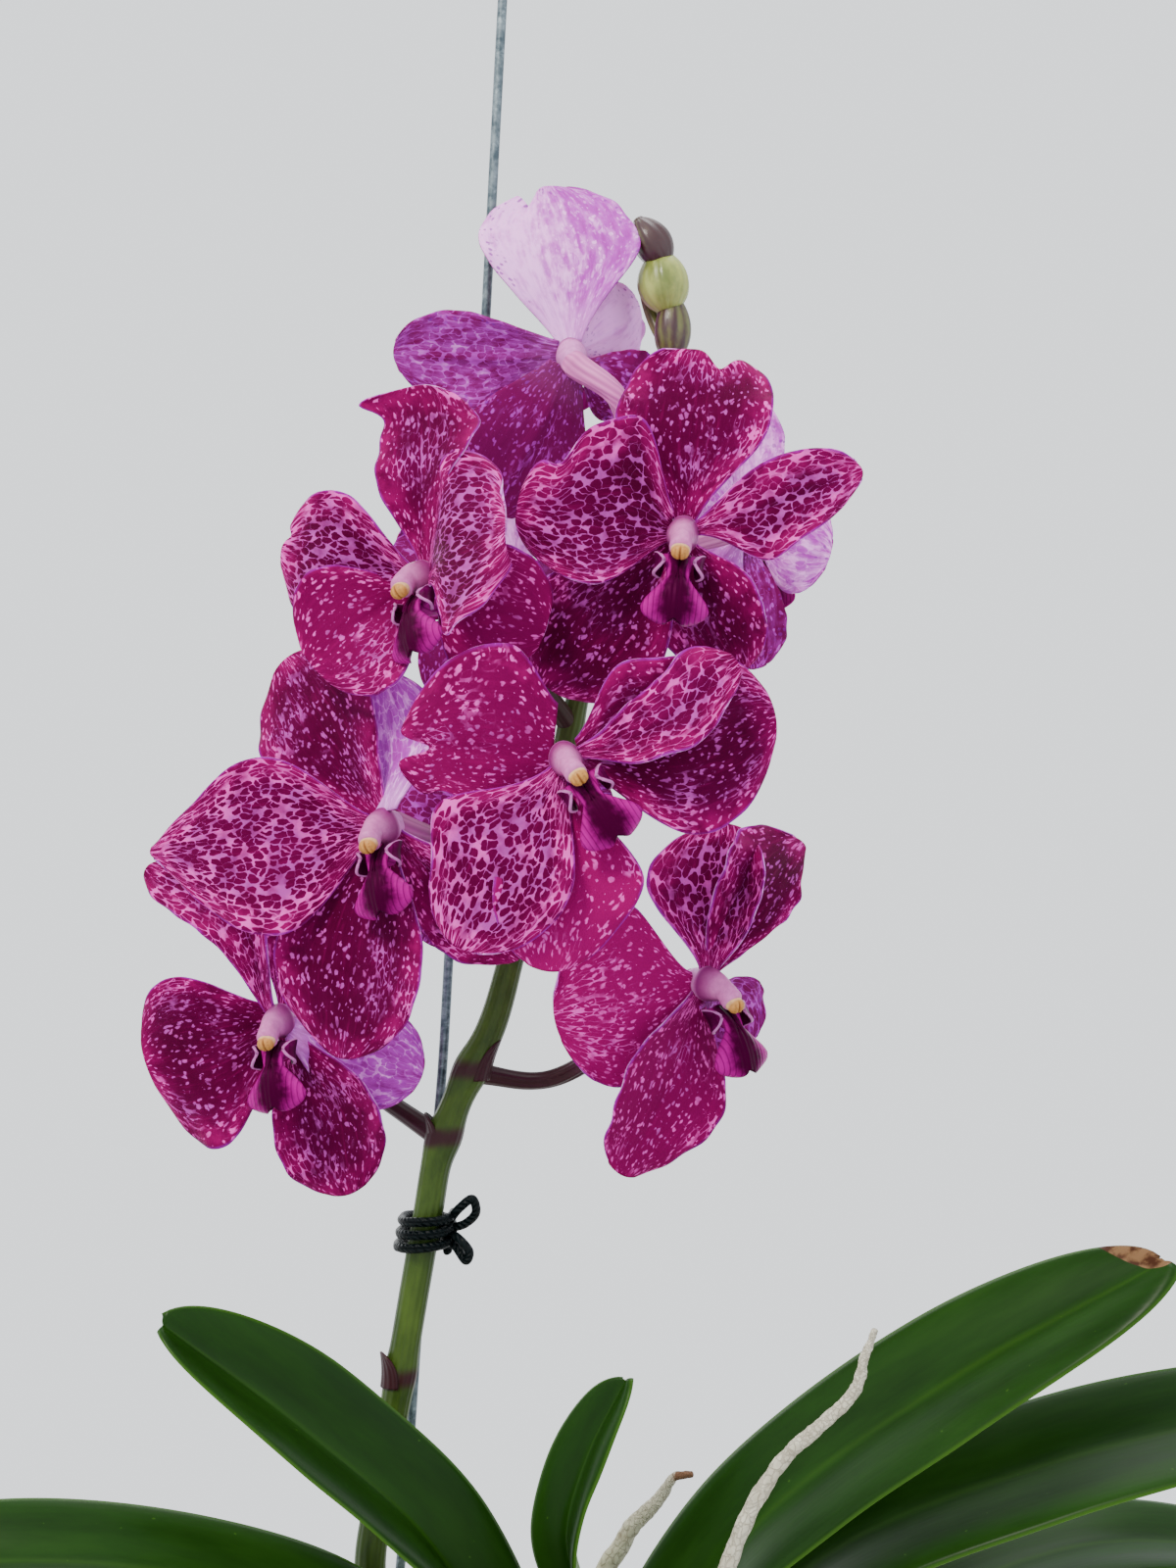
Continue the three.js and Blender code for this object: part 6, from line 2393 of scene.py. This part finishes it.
@dataclass
class Studio:
    """The camera, the lights and the floor.

    Attributes:
        distance: From the camera to the middle of the plant, in metres.
        height: The height of the camera, in metres.
        span: The height that the picture takes in at the plant, in metres.
        sensor: The longer side of the sensor, in millimetres.
        target: What the lamps shine at, in metres.
        lamps: The lamps.
        sky: The colour of the light from all round.
        sky_strength: How strong it is.
        floor: The radius of the floor, in millimetres.
        floor_colours: The two greys of the floor.
    """

    distance: float = 0.55
    height: float = 0.411
    span: float = 0.352
    sensor: float = 36
    target: Point = (0.0, 0.0, 0.42)
    lamps: tuple[Lamp, ...] = (
        Lamp("key", (-0.55, -0.8, 1.3), 0.35, 17, "fff6ea"),
        Lamp("fill", (1.1, -0.9, 0.6), 1.0, 2, "eef3ff"),
        Lamp("top", (0.1, 0.35, 1.4), 0.6, 5),
        Lamp("back", (-0.5, 1.2, 0.8), 0.9, 4),
    )
    sky: str = "f4f8fc"
    sky_strength: float = 1.6
    floor: float = 700
    floor_colours: tuple[str, str] = ("d4d3cf", "dcdbd8")

    def camera(self) -> None:
        """A level camera that looks along +Y; its lens is sensor · distance / span."""
        view = bpy.data.cameras.new("camera")
        view.sensor_width = self.sensor
        view.lens = self.sensor * self.distance / self.span
        view.clip_start = 0.02
        camera = bpy.data.objects.new("camera", view)
        camera.location = (0, -self.distance, self.height)
        camera.rotation_euler = (math.pi / 2, 0, 0)
        bpy.context.scene.collection.objects.link(camera)
        bpy.context.scene.camera = camera

    def world(self) -> None:
        """An even light from all round."""
        world = bpy.data.worlds.new("studio")
        world.use_nodes = True
        background = world.node_tree.nodes["Background"]
        background.inputs["Color"].default_value = paint(self.sky)
        background.inputs["Strength"].default_value = self.sky_strength
        bpy.context.scene.world = world

    def ground(self) -> None:
        """A pale round floor: a disc 4 mm thick whose top lies at the height of the pot's foot."""
        section = np.array([[0, -4], [self.floor, -4], [self.floor, -0.4], [0, 0]])
        disc = revolved(resampled(section, 40), 96)
        disc.vertices[:, 2] = np.where(disc.vertices[:, 2] > -1, 0, disc.vertices[:, 2])
        bench = MaterialBench("floor", Roughness=0.9)
        grain = bench.noise(bench.place(), 30.0, 3)
        bench.feed(bench.shader.inputs["Base Color"], bench.blend(grain, *self.floor_colours))
        dressed(disc.piece("floor"), bench.material)

    def build(self) -> None:
        """Sets up the camera, the lamps, the light from all round and the floor."""
        self.camera()
        for lamp in self.lamps:
            lamp.build(self.target)
        self.world()
        self.ground()


def main() -> None:
    """Builds the studio and the plant in order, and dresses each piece."""
    logging.basicConfig(level=logging.INFO, format="%(name)s: %(message)s")
    Studio().build()
    effects = Effects()
    finishes: dict[str, Finish] = {
        "clay": ClayFinish(), "bark": BarkFinish(), "stem": StemFinish(), "bud": BudFinish(),
        "leaf": LeafFinish(), "root": RootFinish(), "petal": PetalFinish(), "lip": LipFinish(),
        "column": ColumnFinish(), "wire": WireFinish(), "tie": TieFinish(),
    }
    materials = {slot: finish.material(effects) for slot, finish in finishes.items()}
    pot = ClayPot()
    spike = FlowerSpike()
    pieces = [pot.build(), BarkBed(pot).build(), Cane().build()]
    pieces += [leaf.build() for leaf in LEAVES]
    pieces += [root.build() for root in ROOTS]
    pieces += [*spike.build(), BudCluster().build(), SupportWire().build(), SpikeTie(spike).build()]
    for number, bloom in enumerate(BLOOMS):
        pieces += bloom.build(5 * number).values()
    for piece in pieces:
        dressed(piece, materials[piece["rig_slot"]])


if __name__ == "__main__":
    main()
